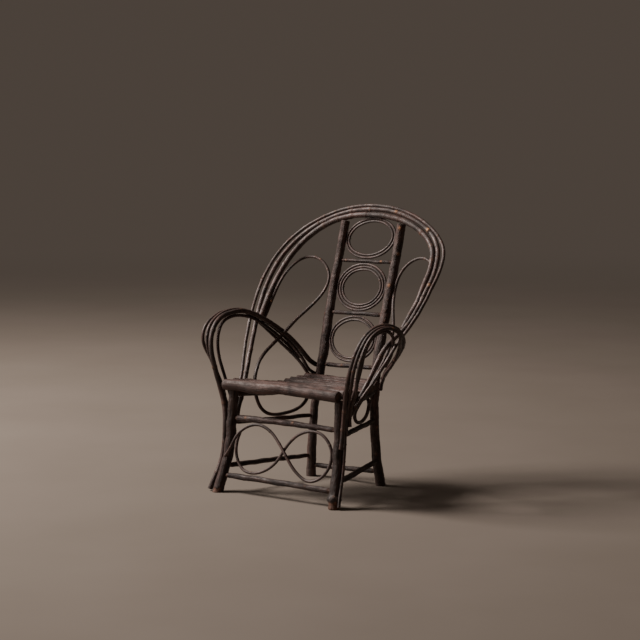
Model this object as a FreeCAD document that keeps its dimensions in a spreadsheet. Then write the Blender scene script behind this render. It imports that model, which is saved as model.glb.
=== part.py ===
import FreeCAD, Part
import math, os
from FreeCAD import Vector as V

# Rustic armchair of bark-on saplings and bent canes, millimetres, +Z up, front towards -Y.
# Origin on the floor under the middle of the whole chair.
# Legs, posts and the seat log are crooked saplings; stretchers and rails are whittled into bored holes;
# every bent cane is nailed on.  Centrelines are tables of 3-D points, radii and fits are spreadsheet cells.

SAPLINGS = {
    'front_leg_left': ([
    (-276, -323, 0), (-268.7, -303.6, 55.1), (-261.5, -286.2, 110.3), (-256.6, -273, 165.4), (-254.5, -264.7, 220.6), (-252.6, -260.4, 275.7),
    (-249.4, -259, 330.9), (-245.4, -259.1, 389)],
    [21.0, 19.93, 19.29, 19.0, 19.0, 19.0, 19.0, 19.0]),
    'front_leg_right': ([
    (264, -324.6, 0), (256, -304.2, 55.1), (250.3, -286.3, 110.3), (247.1, -272.9, 165.4), (245.2, -264.5, 220.6), (244.4, -260.4, 275.7),
    (244.9, -259, 330.9), (246.4, -259.1, 389)],
    [21.5, 20.79, 20.29, 19.93, 19.57, 19.21, 19.0, 19.0]),
    'back_post_left': ([
    (-170.8, 138.5, 0), (-163.6, 130.5, 72.4), (-157, 125.5, 144.7), (-150.7, 124.5, 217.1), (-143.6, 127.3, 289.4), (-136, 134.7, 361.8),
    (-129.9, 148.1, 434.1), (-128.3, 167.1, 506.5), (-131.5, 189.1, 578.9), (-134.8, 211.9, 651.2), (-136.2, 235.1, 723.6), (-136.1, 258.4, 795.9),
    (-135.3, 281.5, 868.3), (-134.3, 303.4, 940.6), (-133.3, 319.7, 998.9)],
    [19.5, 17.93, 16.93, 16.5, 16.57, 16.96, 17.88, 18.97, 18.28, 17.81, 17.34, 17.25, 17.0, 16.53, 16.07]),
    'back_post_right': ([
    (160.4, 138.4, 0), (152.1, 130.2, 72.1), (145.6, 125.1, 144.3), (140.9, 124.3, 216.4), (137.1, 127.3, 288.6), (133.5, 134.6, 360.7),
    (130.9, 147.8, 432.9), (129.8, 166.6, 505), (129.2, 188.4, 577.1), (129.1, 211.2, 649.3), (129.6, 234.3, 721.4), (130.8, 257.6, 793.6),
    (132, 280.6, 865.7), (132.2, 302.2, 937.9), (131.7, 318.2, 995.8)],
    [19.5, 18.32, 17.71, 17.5, 17.5, 17.5, 18.38, 19.84, 19.46, 19.0, 18.53, 18.06, 17.85, 17.72, 17.25]),
    'seat_front_log': ([
    (-275.7, -277.3, 406), (-205.7, -277.3, 408.5), (-115.7, -277.3, 405.5), (-50.7, -277.3, 410), (4.3, -277.3, 412.5), (84.3, -277.3, 410.5),
    (164.3, -277.3, 408), (234.3, -277.3, 406), (254.3, -277.3, 405.5)],
    [20.5, 21.0, 24.5, 21.5, 19.0, 20.0, 21.5, 22.5, 21.5]),
}
CROOKED = {
    'front_stretcher_upper': dict(sections=[
    (-232.4, -260.3, 279.6), (-128.3, -260.4, 282.5), (-4, -260.3, 283.6), (120.2, -260.3, 282.4), (224.6, -260.3, 279)],
        radii=[13.0, 12.5, 11.5, 10.5, 10.0], tenon_radius=7.5,
        tip_start=(-250.1, -260.3, 279.1), tip_end=(242.1, -260.3, 278.4), leg_start='front_leg_left', leg_end='front_leg_right'),
    'seat_side_rail_left': dict(sections=[
    (-241, -239.8, 372.5), (-218.7, -160.3, 366.5), (-190.9, -61.5, 360.5), (-163.2, 37.3, 364), (-140.8, 117, 368)],
        radii=[13.5, 13.5, 13.0, 13.0, 13.5], tenon_radius=8.5,
        tip_start=(-245.8, -256.9, 373.8), tip_end=(-136.0, 134.1, 368.9), leg_start='front_leg_left', leg_end='back_post_left'),
    'seat_side_rail_right': dict(sections=[
    (240.5, -239.7, 372.5), (217.8, -160.3, 366.5), (189.6, -61.5, 360.5), (161.4, 37.3, 364), (138.7, 116.7, 368)],
        radii=[13.5, 13.5, 13.0, 13.0, 13.5], tenon_radius=8.5,
        tip_start=(245.4, -256.9, 373.8), tip_end=(133.7, 134.1, 368.9), leg_start='front_leg_right', leg_end='back_post_right'),
}
TURNED = {
    # name: tip at the start, tip at the end, tenon radius, tenon lengths, body radii start/middle/end, legs
    'front_stretcher_lower': ((-265.2, -300.8, 63.9), (253.1, -302.9, 59.2), 8, 18.8, 19.7, 11, 11, 11, 'front_leg_left', 'front_leg_right'),
    'side_stretcher_upper_left': ((-252.5, -259.4, 260.4), (-148.2, 123.8, 247.1), 6.5, 17.7, 15.6, 8.5, 8.5, 8, 'front_leg_left', 'back_post_left'),
    'side_stretcher_upper_right': ((244.1, -259.7, 255.8), (139.4, 123.9, 255.5), 7, 18.3, 16.5, 9.5, 9.5, 9, 'front_leg_right', 'back_post_right'),
    'side_stretcher_lower_left': ((-262.8, -288.3, 96.3), (-163.0, 127.6, 85.1), 7, 20.5, 16.9, 9.5, 9.5, 8.5, 'front_leg_left', 'back_post_left'),
    'side_stretcher_lower_right': ((252.0, -291.3, 87.8), (150.5, 126.5, 95.5), 7.5, 22.5, 16.8, 10.5, 10.5, 10, 'front_leg_right', 'back_post_right'),
    'rear_stretcher': ((-164.1, 133.5, 45.6), (151.9, 132.2, 54.8), 7, 17.6, 17.4, 9.5, 9.5, 9.5, 'back_post_left', 'back_post_right'),
    'seat_rear_rail': ((-131.0, 141.1, 396.0), (130.1, 141.1, 396.0), 8, 16.9, 16.6, 11, 11, 11, 'back_post_left', 'back_post_right'),
    'back_rail_upper': ((-133.5, 274.8, 847.4), (129.6, 275.7, 850.5), 5.5, 15.6, 16.3, 7.5, 7, 7.5, 'back_post_left', 'back_post_right'),
    'back_rail_middle': ((-132.5, 211.0, 648.4), (126.9, 212.0, 651.7), 6, 16.3, 17.3, 8.5, 8, 8.5, 'back_post_left', 'back_post_right'),
    'back_rail_lower': ((-127.4, 151.6, 447.3), (128.3, 153.1, 453.1), 6, 17.2, 17.1, 8.5, 8.5, 8.5, 'back_post_left', 'back_post_right'),
}
SLATS = {
    # name: centre of the left end, centre of the right end, radii left/middle/right, nail positions along the slat
    'seat_slat_01': ((-268.7, -225.3, 407.1), (250.3, -225.3, 408.3), 18.62, 21.84, 19.87, 32.1, 505),
    'seat_slat_02': ((-248.0, -181.3, 401.6), (251.6, -181.3, 399.7), 19.04, 18.89, 17.14, 24.1, 471.5),
    'seat_slat_03': ((-244.2, -144.8, 395.3), (246.8, -144.8, 395.5), 15.19, 14.96, 15.43, 30.1, 457),
    'seat_slat_04': ((-229.8, -112.3, 392.9), (228.4, -112.3, 391.5), 14.84, 14.1, 13.39, 24, 434.2),
    'seat_slat_05': ((-225.5, -81.3, 389.9), (218.9, -81.3, 388.2), 13.7, 12.91, 12.05, 28, 420.4),
    'seat_slat_06': ((-216.3, -52.3, 387.4), (213.3, -52.3, 389.0), 12.03, 12.59, 13.66, 28.1, 403.5),
    'seat_slat_07': ((-211.5, -24.3, 387.2), (205.1, -24.3, 390.0), 10.89, 12.81, 13.64, 32, 390.6),
    'seat_slat_08': ((-195.8, 4.7, 390.3), (201.0, 4.7, 391.6), 12.95, 13.28, 14.25, 24, 366.7),
    'seat_slat_09': ((-193.0, 35.7, 392.2), (189.8, 35.7, 393.5), 13.72, 14.2, 15.06, 30.1, 354.8),
    'seat_slat_10': ((-184.8, 67.7, 394.0), (186.6, 67.7, 395.8), 13.97, 15.2, 15.73, 30.1, 337.2),
    'seat_slat_11': ((-169.9, 101.7, 398.6), (167.3, 101.7, 396.6), 16.88, 15.2, 14.89, 24.1, 313.1),
}
CANES = {
    'hoop_cane_outer': (6.2, [
    (-266, -239.2, 255.5), (-266.1, -233, 291.3), (-270.2, -218, 324.3), (-277.3, -197.6, 353.6), (-286.2, -174.8, 380.6), (-296.4, -151.4, 406.7),
    (-307.1, -129.1, 433.5), (-317.9, -108.4, 461.5), (-328.6, -88.5, 490.1), (-338.9, -68.4, 518.7), (-348.9, -47.9, 547.2), (-358.3, -26.8, 575.4),
    (-367.1, -5.3, 603.5), (-375.3, 16.7, 631.5), (-382.7, 39, 659.3), (-389.3, 61.9, 687), (-395.1, 85.3, 714.3), (-400.1, 109.5, 741.3),
    (-403.9, 134.2, 767.8), (-405.9, 159.3, 794.2), (-405.3, 184.6, 820.5), (-401.5, 209.5, 846.9), (-394, 233.6, 873.2), (-381.9, 256.2, 899.2),
    (-364.7, 276.2, 924.3), (-341.9, 292.2, 947.8), (-314.9, 304.4, 969.2), (-285.1, 313.6, 988.2), (-253.6, 320.7, 1005.1), (-220.8, 326.5, 1020.1),
    (-186.9, 331.1, 1032.9), (-152.2, 334.6, 1043.6), (-116.7, 337.1, 1051.9), (-80.8, 338.7, 1058), (-44.5, 339.6, 1061.7), (-8, 339.9, 1063.2),
    (28.6, 339.8, 1062.3), (64.9, 339.1, 1059.1), (101, 337.8, 1053.6), (136.6, 335.7, 1045.8), (171.5, 332.4, 1035.6), (205.4, 327.8, 1022.9),
    (238.1, 321.7, 1007.9), (269.1, 313.8, 990.4), (298.1, 304, 970.5), (324.5, 291.9, 948.5), (347.3, 276.4, 924.7), (364.7, 256.3, 899.8),
    (376.1, 232.7, 874.2), (382.6, 207.5, 848.1), (386, 182.1, 821.6), (386.4, 156.8, 795), (384.9, 131.8, 767.9), (383.8, 108.9, 740.4),
    (380.1, 86, 713.2), (375.3, 63.9, 686), (368, 41.9, 659.9), (359.5, 20.2, 633.9), (348.7, -3, 607.2), (339.1, -26.2, 578.4),
    (331.4, -47.7, 548.8), (323.3, -68.5, 519.7), (314.3, -89, 490.7), (304.7, -109.1, 461.9), (294.7, -129.6, 433.5), (285.1, -151.5, 406.2),
    (276.5, -175, 379.9), (269, -198.2, 353.1), (262.9, -218.9, 323.9), (258.9, -233.8, 291.2), (257.6, -239, 255.4)]),
    'hoop_cane_middle': (8, [
    (-250.2, -232.9, 279.3), (-251.5, -222.3, 313.8), (-257.4, -201.4, 342.8), (-265.4, -178.5, 369.9), (-274.2, -156.4, 397.3), (-283.4, -135.1, 425.3),
    (-292.2, -114.4, 453.8), (-300.7, -93.9, 482.6), (-308.8, -73.4, 511.6), (-316.8, -52.8, 540.4), (-325, -31.9, 569), (-333.5, -10.6, 597.2),
    (-341.9, 11.2, 625.1), (-350, 33.5, 652.7), (-357.5, 56.3, 680), (-364.1, 79.7, 707.2), (-369.4, 103.5, 734.2), (-373.2, 127.9, 761),
    (-375.3, 152.7, 787.6), (-375.1, 177.8, 814.1), (-371.9, 202.8, 840.4), (-365, 227.2, 866.6), (-353.6, 250.5, 892.4), (-337.3, 271.4, 917.3),
    (-315.3, 288.4, 941), (-288.7, 300.8, 962.5), (-259.3, 310.4, 981.7), (-227.9, 317.9, 998.6), (-195, 323.8, 1012.9), (-160.9, 328.3, 1024.8),
    (-125.9, 331.6, 1034.2), (-90.3, 334.1, 1041.2), (-54.3, 335.7, 1045.8), (-18, 336.4, 1048.2), (18.4, 336.2, 1048.3), (54.7, 335.2, 1046.1),
    (90.7, 333.4, 1041.4), (126.3, 330.9, 1034.2), (161.2, 327.7, 1024.4), (195.2, 323.8, 1012.1), (228, 318.4, 997.2), (258.9, 310.7, 979.8),
    (287.1, 299.7, 959.7), (311.2, 284.8, 937.2), (331, 266.6, 913), (345.5, 245.1, 887.8), (355.8, 221.8, 861.9), (362.6, 197.4, 835.6),
    (366.4, 172.6, 809.2), (367, 147.4, 782.7), (366.5, 123.4, 756.3), (366, 101.4, 729.8), (363.2, 79.6, 703.7), (358.1, 58.3, 677.9),
    (351.2, 37.6, 652.8), (339, 14.7, 628.1), (323, -10, 603.1), (306.7, -35.1, 576.7), (296.7, -57.1, 547.8), (290.3, -77.1, 517.4),
    (284.9, -96.7, 486.6), (279.7, -116.2, 455.8), (274.2, -136.1, 425.4), (267.6, -156.6, 395.9), (259.7, -178.3, 367.7), (252.2, -201.3, 340.6),
    (246, -221.6, 311.2), (242.3, -232.7, 277.4)]),
    'hoop_cane_inner': (10, [
    (-324.6, 15.7, 630.8), (-328.3, 38, 658.9), (-331.8, 60.9, 686.5), (-334.9, 84.4, 713.7), (-337.2, 108.5, 740.4), (-338.6, 133.1, 766.8),
    (-338.6, 158.1, 792.8), (-336.8, 183.1, 818.8), (-332.3, 207.8, 844.7), (-324.3, 231.6, 870.6), (-311.9, 253.6, 896.3), (-294.6, 273.1, 921.2),
    (-272.6, 289.5, 944.7), (-246.1, 302.1, 965.9), (-216.2, 311.4, 984), (-183.7, 318, 998.8), (-149.5, 322.5, 1010.1), (-114.3, 325.4, 1018.2),
    (-78.5, 326.9, 1023.5), (-42.3, 327.6, 1026.4), (-6.1, 327.8, 1027.3), (30.1, 327.6, 1026.5), (66.2, 326.9, 1023.5), (102, 325.3, 1018.2),
    (137.2, 322.5, 1010.2), (171.5, 318.4, 999.5), (204.5, 312.6, 985.9), (235.7, 304.7, 969.5), (264.4, 293.8, 950.3), (289.7, 279.7, 928.9),
    (310.6, 262.1, 905.4), (324.6, 240.3, 880.4), (334.3, 216.9, 854.3), (340, 192.5, 827.5), (342.7, 168.1, 800.1), (342.7, 143.7, 772.2),
    (343.8, 122.3, 743.7), (341.2, 100.9, 716), (335.9, 78.3, 688.1), (331.2, 55.5, 659.9), (328.2, 32.3, 631.3)]),
    'arm_left_cane_inner': (9.5, [
    (-312.1, -323.2, 7), (-303.9, -310.7, 40.7), (-297.6, -295.8, 73.7), (-292, -281.3, 107.2), (-287.8, -271.5, 142.5), (-285.3, -265.9, 178.9),
    (-283.7, -265.2, 215.9), (-282.2, -265.8, 252.9), (-285, -262.4, 289.6), (-293.9, -256.8, 324.9), (-304.2, -254.8, 360.2), (-312.9, -258.4, 395.8),
    (-318, -267.3, 431.2), (-319.8, -279, 466.2), (-322.6, -288.3, 501.8), (-328.6, -290.5, 538.2), (-335.1, -283.3, 573.9), (-340.3, -265.8, 606.1),
    (-344.5, -239.5, 631.9), (-348.1, -206.7, 649.1), (-349.6, -170.8, 658.8), (-346.6, -134.2, 664.4), (-337.6, -98.1, 666.2), (-322.9, -64.6, 660.1),
    (-305.8, -34.9, 645.9), (-291.8, -5.3, 628.5), (-281.8, 25.3, 610.2), (-272.2, 54.9, 590.3), (-259.5, 81.6, 568.3), (-240.9, 101.7, 543.6),
    (-217.3, 112.9, 517.1), (-192.6, 118.1, 489.8), (-169.2, 126.6, 462.2), (-157.4, 154.1, 442)]),
    'arm_left_cane_middle': (6.6, [
    (-275.4, -246.3, 288.9), (-291.7, -241, 320.8), (-308.1, -236.3, 352.7), (-321.4, -237, 386.4), (-330.2, -244.4, 420.8), (-336.4, -255.9, 454.7),
    (-342.1, -268.9, 488.2), (-347.9, -279.5, 522.4), (-353.5, -283.1, 558), (-358.2, -275.6, 593), (-361.7, -256.3, 623.2), (-363.8, -226.5, 643.5),
    (-365.6, -193, 657.1), (-366.1, -158, 666.3), (-363, -122.1, 670.7), (-353.7, -87, 669.9), (-338.6, -54.9, 662.8), (-321.3, -27.3, 647),
    (-307.5, -0.6, 626.9), (-298.5, 28.8, 607.6), (-289.9, 57.8, 587.7), (-277.3, 83.1, 565.1), (-258.6, 100.4, 539.5), (-236, 109.6, 512.7),
    (-211.1, 112, 486.3), (-186.6, 111.7, 459.3), (-168.8, 119.3, 428.7), (-156.1, 145.4, 409.3)]),
    'arm_left_cane_outer': (6.4, [
    (-298.6, -246.1, 304.8), (-317.4, -221.1, 321.8), (-332.2, -207, 352.4), (-343.6, -205.7, 387.4), (-352, -215.5, 422.4), (-358, -229.7, 456.5),
    (-363.6, -245.9, 489.7), (-369.8, -263.2, 522), (-376.1, -277.1, 555.9), (-379.4, -275, 592.4), (-381, -255.7, 623.4), (-382.9, -224.5, 642.5),
    (-385, -190.1, 655), (-385.3, -154.4, 662.9), (-381.2, -118.3, 666.3), (-370.3, -83.7, 665.3), (-353.5, -52.3, 657.4), (-335.8, -26.3, 638.7),
    (-323.1, -0.4, 615.8), (-314.6, 26.8, 592.3), (-305.4, 52.8, 567.7), (-290.4, 74.7, 542), (-268.7, 90.8, 516.8), (-243.3, 101.8, 492.3),
    (-217, 108.1, 467.3), (-192.7, 112.6, 440.4), (-173.1, 120.3, 410.9), (-158.2, 139.4, 384.2)]),
    'arm_left_cane_under': (6.2, [
    (-268.8, -240.9, 304), (-279.5, -228.3, 336.6), (-293, -226.2, 370.8), (-305.9, -225.8, 405.5), (-317.4, -228.2, 440.6), (-327.1, -232.9, 476.1),
    (-335, -236.3, 512.2), (-341, -234.9, 548.8), (-345.8, -225.9, 584.4), (-350.4, -205.7, 615.1), (-354.6, -174.5, 634.9), (-355.4, -138.6, 645.1),
    (-349.8, -101.8, 648.1), (-338.4, -66.5, 643.9), (-323.8, -34, 632.2), (-309.3, -4.5, 614), (-298.5, 24.8, 593.1), (-289.1, 53.9, 571.1),
    (-277.9, 81.1, 547.5), (-261.8, 103.1, 521.8), (-239.6, 117.1, 495.2), (-214.2, 125, 468.8)]),
    'arm_right_cane_inner': (8, [
    (267.4, -282.7, 215.1), (270.7, -279.2, 251.8), (272.3, -276.6, 288.6), (274.1, -275.2, 325.5), (277.5, -275.8, 362.4), (283.4, -278.5, 399.1),
    (290.8, -282.2, 435.5), (299.5, -284.8, 471.6), (309, -284.3, 507.6), (317.8, -278.9, 543.5), (325.6, -267.2, 578.2), (332.7, -248.5, 609.9),
    (340.2, -223.1, 636.6), (350.2, -191.9, 655.2), (363.6, -157.3, 662.8), (375.9, -121.5, 659.2), (381.6, -86.7, 644.8), (378.7, -55.1, 623.9),
    (368.2, -25.8, 602.5), (351.7, 1.2, 582.3), (330.9, 25, 562.1), (307.6, 46.1, 541.6), (282.9, 65.1, 520.5), (257.5, 82.6, 499),
    (231.8, 99.4, 477.2), (206.3, 116.2, 455.2), (181.5, 133.8, 433.2), (156.6, 153.3, 413)]),
    'arm_right_cane_middle': (6.6, [
    (270.5, -257.5, 279.9), (273.1, -255.1, 316.5), (278.1, -256.1, 352.9), (286.9, -261.4, 388.2), (299.3, -270.7, 421.5), (311.4, -280, 455),
    (321.7, -285.7, 489.8), (330.3, -285.4, 525.5), (337.7, -277.6, 560.6), (344.4, -262.9, 593.5), (351.8, -241.7, 622.6), (361.1, -214.5, 645.4),
    (373.4, -181.9, 657.7), (386.7, -147.2, 657.4), (395.5, -112.6, 646), (393.7, -81.2, 626), (378.2, -55, 605.2), (359.9, -29.2, 586.3),
    (341.6, -3.7, 567), (320.2, 19.1, 547.2), (296.8, 39.5, 526.8), (272.2, 58, 506.1), (246.5, 74.9, 485.3), (219.9, 90.3, 464.6),
    (196.6, 107.7, 442), (178.2, 126.8, 416.5), (157, 144.4, 392.5)]),
    'arm_right_cane_outer': (6.4, [
    (282.4, -245.9, 294.8), (278, -242, 330.5), (286.3, -244.8, 366.1), (303.2, -253.4, 397.6), (320.5, -264.4, 428), (332.5, -274.7, 461.1),
    (341.5, -281.6, 496), (349.5, -282.3, 531.8), (356, -274.5, 567.1), (361.7, -258.9, 599.7), (368.3, -236.4, 627.8), (377.7, -207.7, 648.3),
    (391.2, -174.8, 656.5), (404, -141.1, 650.2), (406.5, -110.1, 630.7), (393.3, -83.3, 609.1), (374.8, -57.8, 590), (356.1, -31.9, 571.7),
    (335.5, -8, 552.5), (314.2, 13.4, 531.4), (291.9, 32.6, 509.2), (268.3, 49.9, 486.9), (242.9, 66, 465.8), (216.6, 82.8, 446.3),
    (194.5, 103.8, 425.5), (174.3, 122.1, 400.7), (158.4, 139, 372.3)]),
    'arm_right_cane_under': (6.2, [
    (262.5, -241, 305.2), (268.2, -237.1, 340.8), (277.7, -235.5, 375.7), (289.7, -235.5, 409.8), (302.4, -236, 443.8), (314.1, -236.2, 478.1),
    (323.4, -235, 513.1), (330.3, -231.4, 548.4), (336.9, -223, 583), (345.6, -206.8, 613.8), (357.7, -181.7, 635.8), (368.4, -149.3, 643.2),
    (369.2, -115.6, 633.6), (359.4, -85.2, 617.9), (344.6, -57.5, 600.4), (327.8, -31.7, 581.4), (310.6, -7.4, 560.8), (291.6, 14.6, 539.8),
    (270.8, 34.4, 518.8), (248.6, 52.6, 497.7), (225.8, 69.5, 476.3)]),
    'leg_cane_right': (6, [
    (290.3, -328.1, 9.2), (284.8, -313.7, 43.9), (280.3, -298.5, 78.5), (276.8, -285.3, 113.9), (274.3, -275.5, 150.5), (272.4, -267.9, 187.7),
    (271, -262.2, 225.2), (270.2, -258.7, 263)]),
    'side_scroll_left': (5, [
    (-319.9, 30.8, 626.5), (-319, 43.9, 644.2), (-318.7, 56.9, 662.1), (-318.9, 70, 679.9), (-319.4, 83.2, 697.5), (-319.9, 96.7, 715),
    (-320.2, 110.5, 732.2), (-320.1, 124.7, 749.1), (-319.4, 139.4, 765.6), (-317.8, 154.6, 781.4), (-315.1, 170.4, 796.6), (-311.1, 186.8, 810.8),
    (-306.3, 204.1, 823.6), (-300.8, 222.4, 834.7), (-293.1, 240.8, 844.1), (-278.9, 255.9, 851.5), (-258.1, 262.4, 854.6), (-236.1, 263.8, 852.6),
    (-215.2, 263.6, 845.3), (-196.7, 262.2, 833.4), (-181.1, 259.3, 817.9), (-169.3, 254.6, 799.8), (-162.1, 247.3, 780.2), (-160.2, 237.8, 760.3),
    (-162.2, 226.9, 741.3), (-167.3, 215.4, 723.2), (-174.5, 203.4, 706.2), (-183.3, 191.1, 690.3), (-193, 178.5, 675.3), (-203.2, 165.5, 661),
    (-213.2, 152, 647.1), (-222.6, 137.9, 633.3), (-230.8, 123.1, 619.5), (-237.3, 107.5, 605.5), (-242.3, 91.2, 591.3), (-246.8, 74.6, 577.3),
    (-251.7, 58.1, 563.5), (-257.1, 41.4, 550.3), (-262.2, 24.3, 537.6), (-266.5, 6.7, 525.3), (-269.5, -11.3, 513.1), (-270.7, -29.4, 501),
    (-270.1, -47.4, 488.7), (-267.9, -64.8, 475.7), (-264.7, -81.1, 461.5), (-260.9, -95.8, 445.7), (-256.9, -108.2, 428), (-252.8, -117.9, 408.7),
    (-248.6, -124.6, 388.2), (-244.1, -128.1, 366.9), (-239.3, -128, 345.3), (-233.9, -124.3, 324.2), (-227.3, -116.9, 304.5), (-218.7, -105.8, 287.5),
    (-207.2, -91, 275.9), (-193.6, -74.2, 271.5), (-179.7, -57, 271.9), (-166.5, -39.6, 275.1), (-154.4, -21.7, 279.6), (-143.9, -3.2, 285.6),
    (-134.9, 14.6, 295), (-127.6, 30.6, 308.3), (-123.4, 44.2, 325.2), (-124.2, 53.8, 345.1)]),
    'side_scroll_right': (5, [
    (325.5, 232.4, 850.5), (312.5, 242.3, 864.7), (294.3, 250.2, 872.8), (274.7, 258.2, 875.5), (254.4, 264.6, 874.2), (234.1, 268.1, 868.9),
    (214.6, 269.2, 860.3), (196.8, 268.3, 848.4), (181.7, 265.6, 833.4), (169.8, 261.4, 815.9), (161.3, 256.4, 796.5), (156.1, 251, 775.9),
    (153.7, 245, 754.9), (153.9, 237.4, 734.1), (157.2, 227.4, 714.8), (163.3, 215.4, 697.5), (171.4, 202.3, 682.1), (180.8, 188.4, 668.2),
    (190.8, 174.1, 655.3), (200.9, 159.4, 642.7), (210.8, 144.6, 630), (220.2, 129.6, 617.2), (229, 114.3, 604.1), (236.9, 98.9, 590.6),
    (243.9, 83.2, 576.8), (249.8, 67.3, 562.6), (254.2, 51.3, 548.1), (257.3, 35.3, 533.2), (259.1, 19.3, 518), (260, 3.2, 502.9),
    (260.4, -13, 487.8), (260.7, -29.3, 472.9), (261, -45.8, 458.2), (261.4, -62.5, 443.6), (261.2, -78.9, 428.7), (259.7, -94.5, 413),
    (256.3, -108.7, 396.2), (250.5, -120.7, 378.3), (242.8, -129.9, 359.5), (233.9, -134.9, 339.5), (225.1, -132.5, 318.9), (218.1, -121, 300.7),
    (212.6, -103.5, 287.6), (207.9, -82.8, 280.6), (203.5, -61, 279.7), (199, -39.8, 283), (194, -19.5, 289), (188.2, -0.4, 297),
    (181.4, 17.2, 307), (173.8, 33, 318.9), (165.5, 46.9, 333), (152.6, 58.3, 347), (132.8, 64, 353.7), (116.6, 63.8, 352.4)]),
    'front_figure_eight': (4.6, [
    (-254.9, -303.9, 136.6), (-240.8, -301.2, 155.9), (-228.6, -299.9, 176.6), (-217.4, -297.4, 197.8), (-206.4, -291.8, 218.4), (-192.4, -284.6, 236.6),
    (-173.9, -278.5, 250.7), (-152.4, -273.7, 260.4), (-129.1, -270.3, 265.2), (-105.2, -268.4, 263.7), (-82.4, -268.3, 256), (-61.5, -269.8, 244.2),
    (-42.3, -272.7, 229.9), (-24.3, -276.9, 214.5), (-7.4, -281.5, 198.1), (8.7, -285.9, 180.7), (24, -289.1, 162.4), (39.3, -291.3, 143.9),
    (55.5, -293, 126.2), (73.4, -294.6, 110.2), (93.2, -296.3, 96.7), (115.2, -297.7, 87), (138.9, -298.2, 83.7), (162.4, -297.2, 88.6),
    (183.2, -295, 100.3), (200.5, -292, 116.7), (213.7, -288.4, 136.4), (222.1, -284.3, 158.6), (224.5, -279.9, 182.1), (219.8, -275.5, 205.2),
    (208.3, -271.5, 226), (192, -268.1, 243.2), (171.8, -265.7, 256.1), (149, -264.5, 263.3), (125, -264.4, 264.6), (101.3, -265, 260.9),
    (78.6, -265.8, 252.9), (57.6, -266.7, 241.2), (38.7, -267.9, 226.4), (22.1, -269.7, 209.1), (8, -272.6, 189.9), (-4.4, -276.6, 169.6),
    (-16.7, -281.2, 149.4), (-31.1, -285.9, 130.7), (-48.6, -290.3, 114.7), (-68.6, -293.9, 101.8), (-90.5, -296.6, 92.3), (-113.8, -298, 86.3),
    (-137.7, -298.3, 84.4), (-161.5, -297.3, 88.1), (-182.5, -294.8, 99.3), (-198.8, -291, 116.6), (-210.3, -286.3, 137.2), (-217.4, -280.8, 159.6),
    (-220.1, -274.4, 182.6), (-217.9, -268.2, 205.8), (-210.8, -263.5, 228.3)]),
    'back_ring_upper_outer': (4.3, [
    (-101.5, 315.6, 968.1), (-112, 309.1, 947.6), (-114, 301.7, 924.7), (-106.1, 294.6, 902.9), (-90.4, 288.9, 885.4), (-70.1, 284.9, 873),
    (-47.4, 282.4, 865.3), (-23.5, 281.2, 861.7), (0.7, 281.2, 861.7), (24.6, 282.3, 865.3), (47.6, 284.6, 872.4), (69.1, 288.1, 883),
    (87.9, 292.8, 897.5), (102.3, 298.8, 915.9), (109.6, 306, 937.9), (107, 313.4, 960.7), (95, 319.9, 980.6), (76.6, 324.8, 995.5),
    (54.7, 328.1, 1005.5), (31.2, 330, 1011.1), (7, 330.6, 1012.9), (-17.2, 330, 1011.2), (-40.8, 328.2, 1006.2), (-63.3, 325.4, 997.6),
    (-83.7, 321.3, 985.3), (-100.7, 315.9, 969.1)]),
    'back_ring_upper_inner': (4.3, [
    (85.4, 297.3, 911.8), (96.3, 304, 932.3), (96.3, 311.5, 955.2), (84.6, 318, 975.3), (65.5, 322.6, 989.5), (43.1, 325.4, 998.2),
    (19.2, 326.7, 1002.3), (-5, 326.7, 1002.3), (-28.9, 325.5, 998.5), (-51.9, 323.1, 991), (-72.9, 319.4, 979.6), (-90.4, 314.2, 963.7),
    (-101.6, 307.6, 943.2), (-101.9, 300.1, 920.3), (-90.4, 293.6, 900.1), (-71.5, 288.9, 885.7), (-49.1, 286, 876.9), (-25.2, 284.7, 872.8),
    (-1, 284.7, 872.7), (23, 285.9, 876.3), (45.9, 288.3, 883.7), (67, 291.9, 895.1), (84.7, 297.1, 910.9)]),
    'back_ring_middle_outer': (4.4, [
    (-98.5, 258.5, 795.1), (-110.2, 251.8, 774.6), (-115, 244.4, 751.7), (-112.1, 236.9, 728.4), (-101.9, 230, 707.1), (-85.9, 224.2, 689.4),
    (-65.8, 219.9, 676), (-43.2, 216.9, 667), (-19.1, 215.5, 662.4), (5.5, 215.4, 662.1), (29.7, 216.6, 666.1), (52.7, 219.3, 674.3),
    (73.4, 223.4, 686.8), (90.5, 228.8, 703.6), (102.5, 235.4, 724), (107.6, 242.9, 746.9), (105, 250.4, 770.1), (95, 257.3, 791.5),
    (79.2, 263.1, 809.3), (59.1, 267.5, 822.9), (36.5, 270.5, 832), (12.4, 272, 836.8), (-12.2, 272.2, 837.2), (-36.4, 270.9, 833.3),
    (-59.5, 268.3, 825.2), (-80.4, 264.2, 812.7), (-97.7, 258.8, 796.1)]),
    'back_ring_middle_mid': (4.4, [
    (81.1, 230.7, 709.4), (92.7, 237.4, 730.1), (96.1, 245, 753.4), (90.6, 252.4, 776.2), (77.2, 258.8, 795.9), (58.3, 263.7, 811),
    (36, 266.9, 821.1), (11.9, 268.6, 826.3), (-12.8, 268.7, 826.6), (-37, 267.3, 822.2), (-59.7, 264.3, 812.9), (-79.5, 259.7, 798.9),
    (-94.5, 253.7, 780.2), (-102.4, 246.5, 758), (-101.6, 238.9, 734.6), (-92.1, 231.8, 713), (-75.8, 226.1, 695.3), (-55.1, 222, 682.6),
    (-31.8, 219.5, 674.8), (-7.2, 218.5, 672), (17.4, 219.2, 673.9), (41, 221.3, 680.6), (62.5, 225.1, 692.1), (80.3, 230.4, 708.4)]),
    'back_ring_middle_inner': (4.4, [
    (-78.2, 255, 784.3), (-89.4, 248.1, 763.2), (-90.7, 240.5, 739.6), (-81.7, 233.4, 717.6), (-64.7, 227.7, 700.3), (-43, 224, 688.7),
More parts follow.
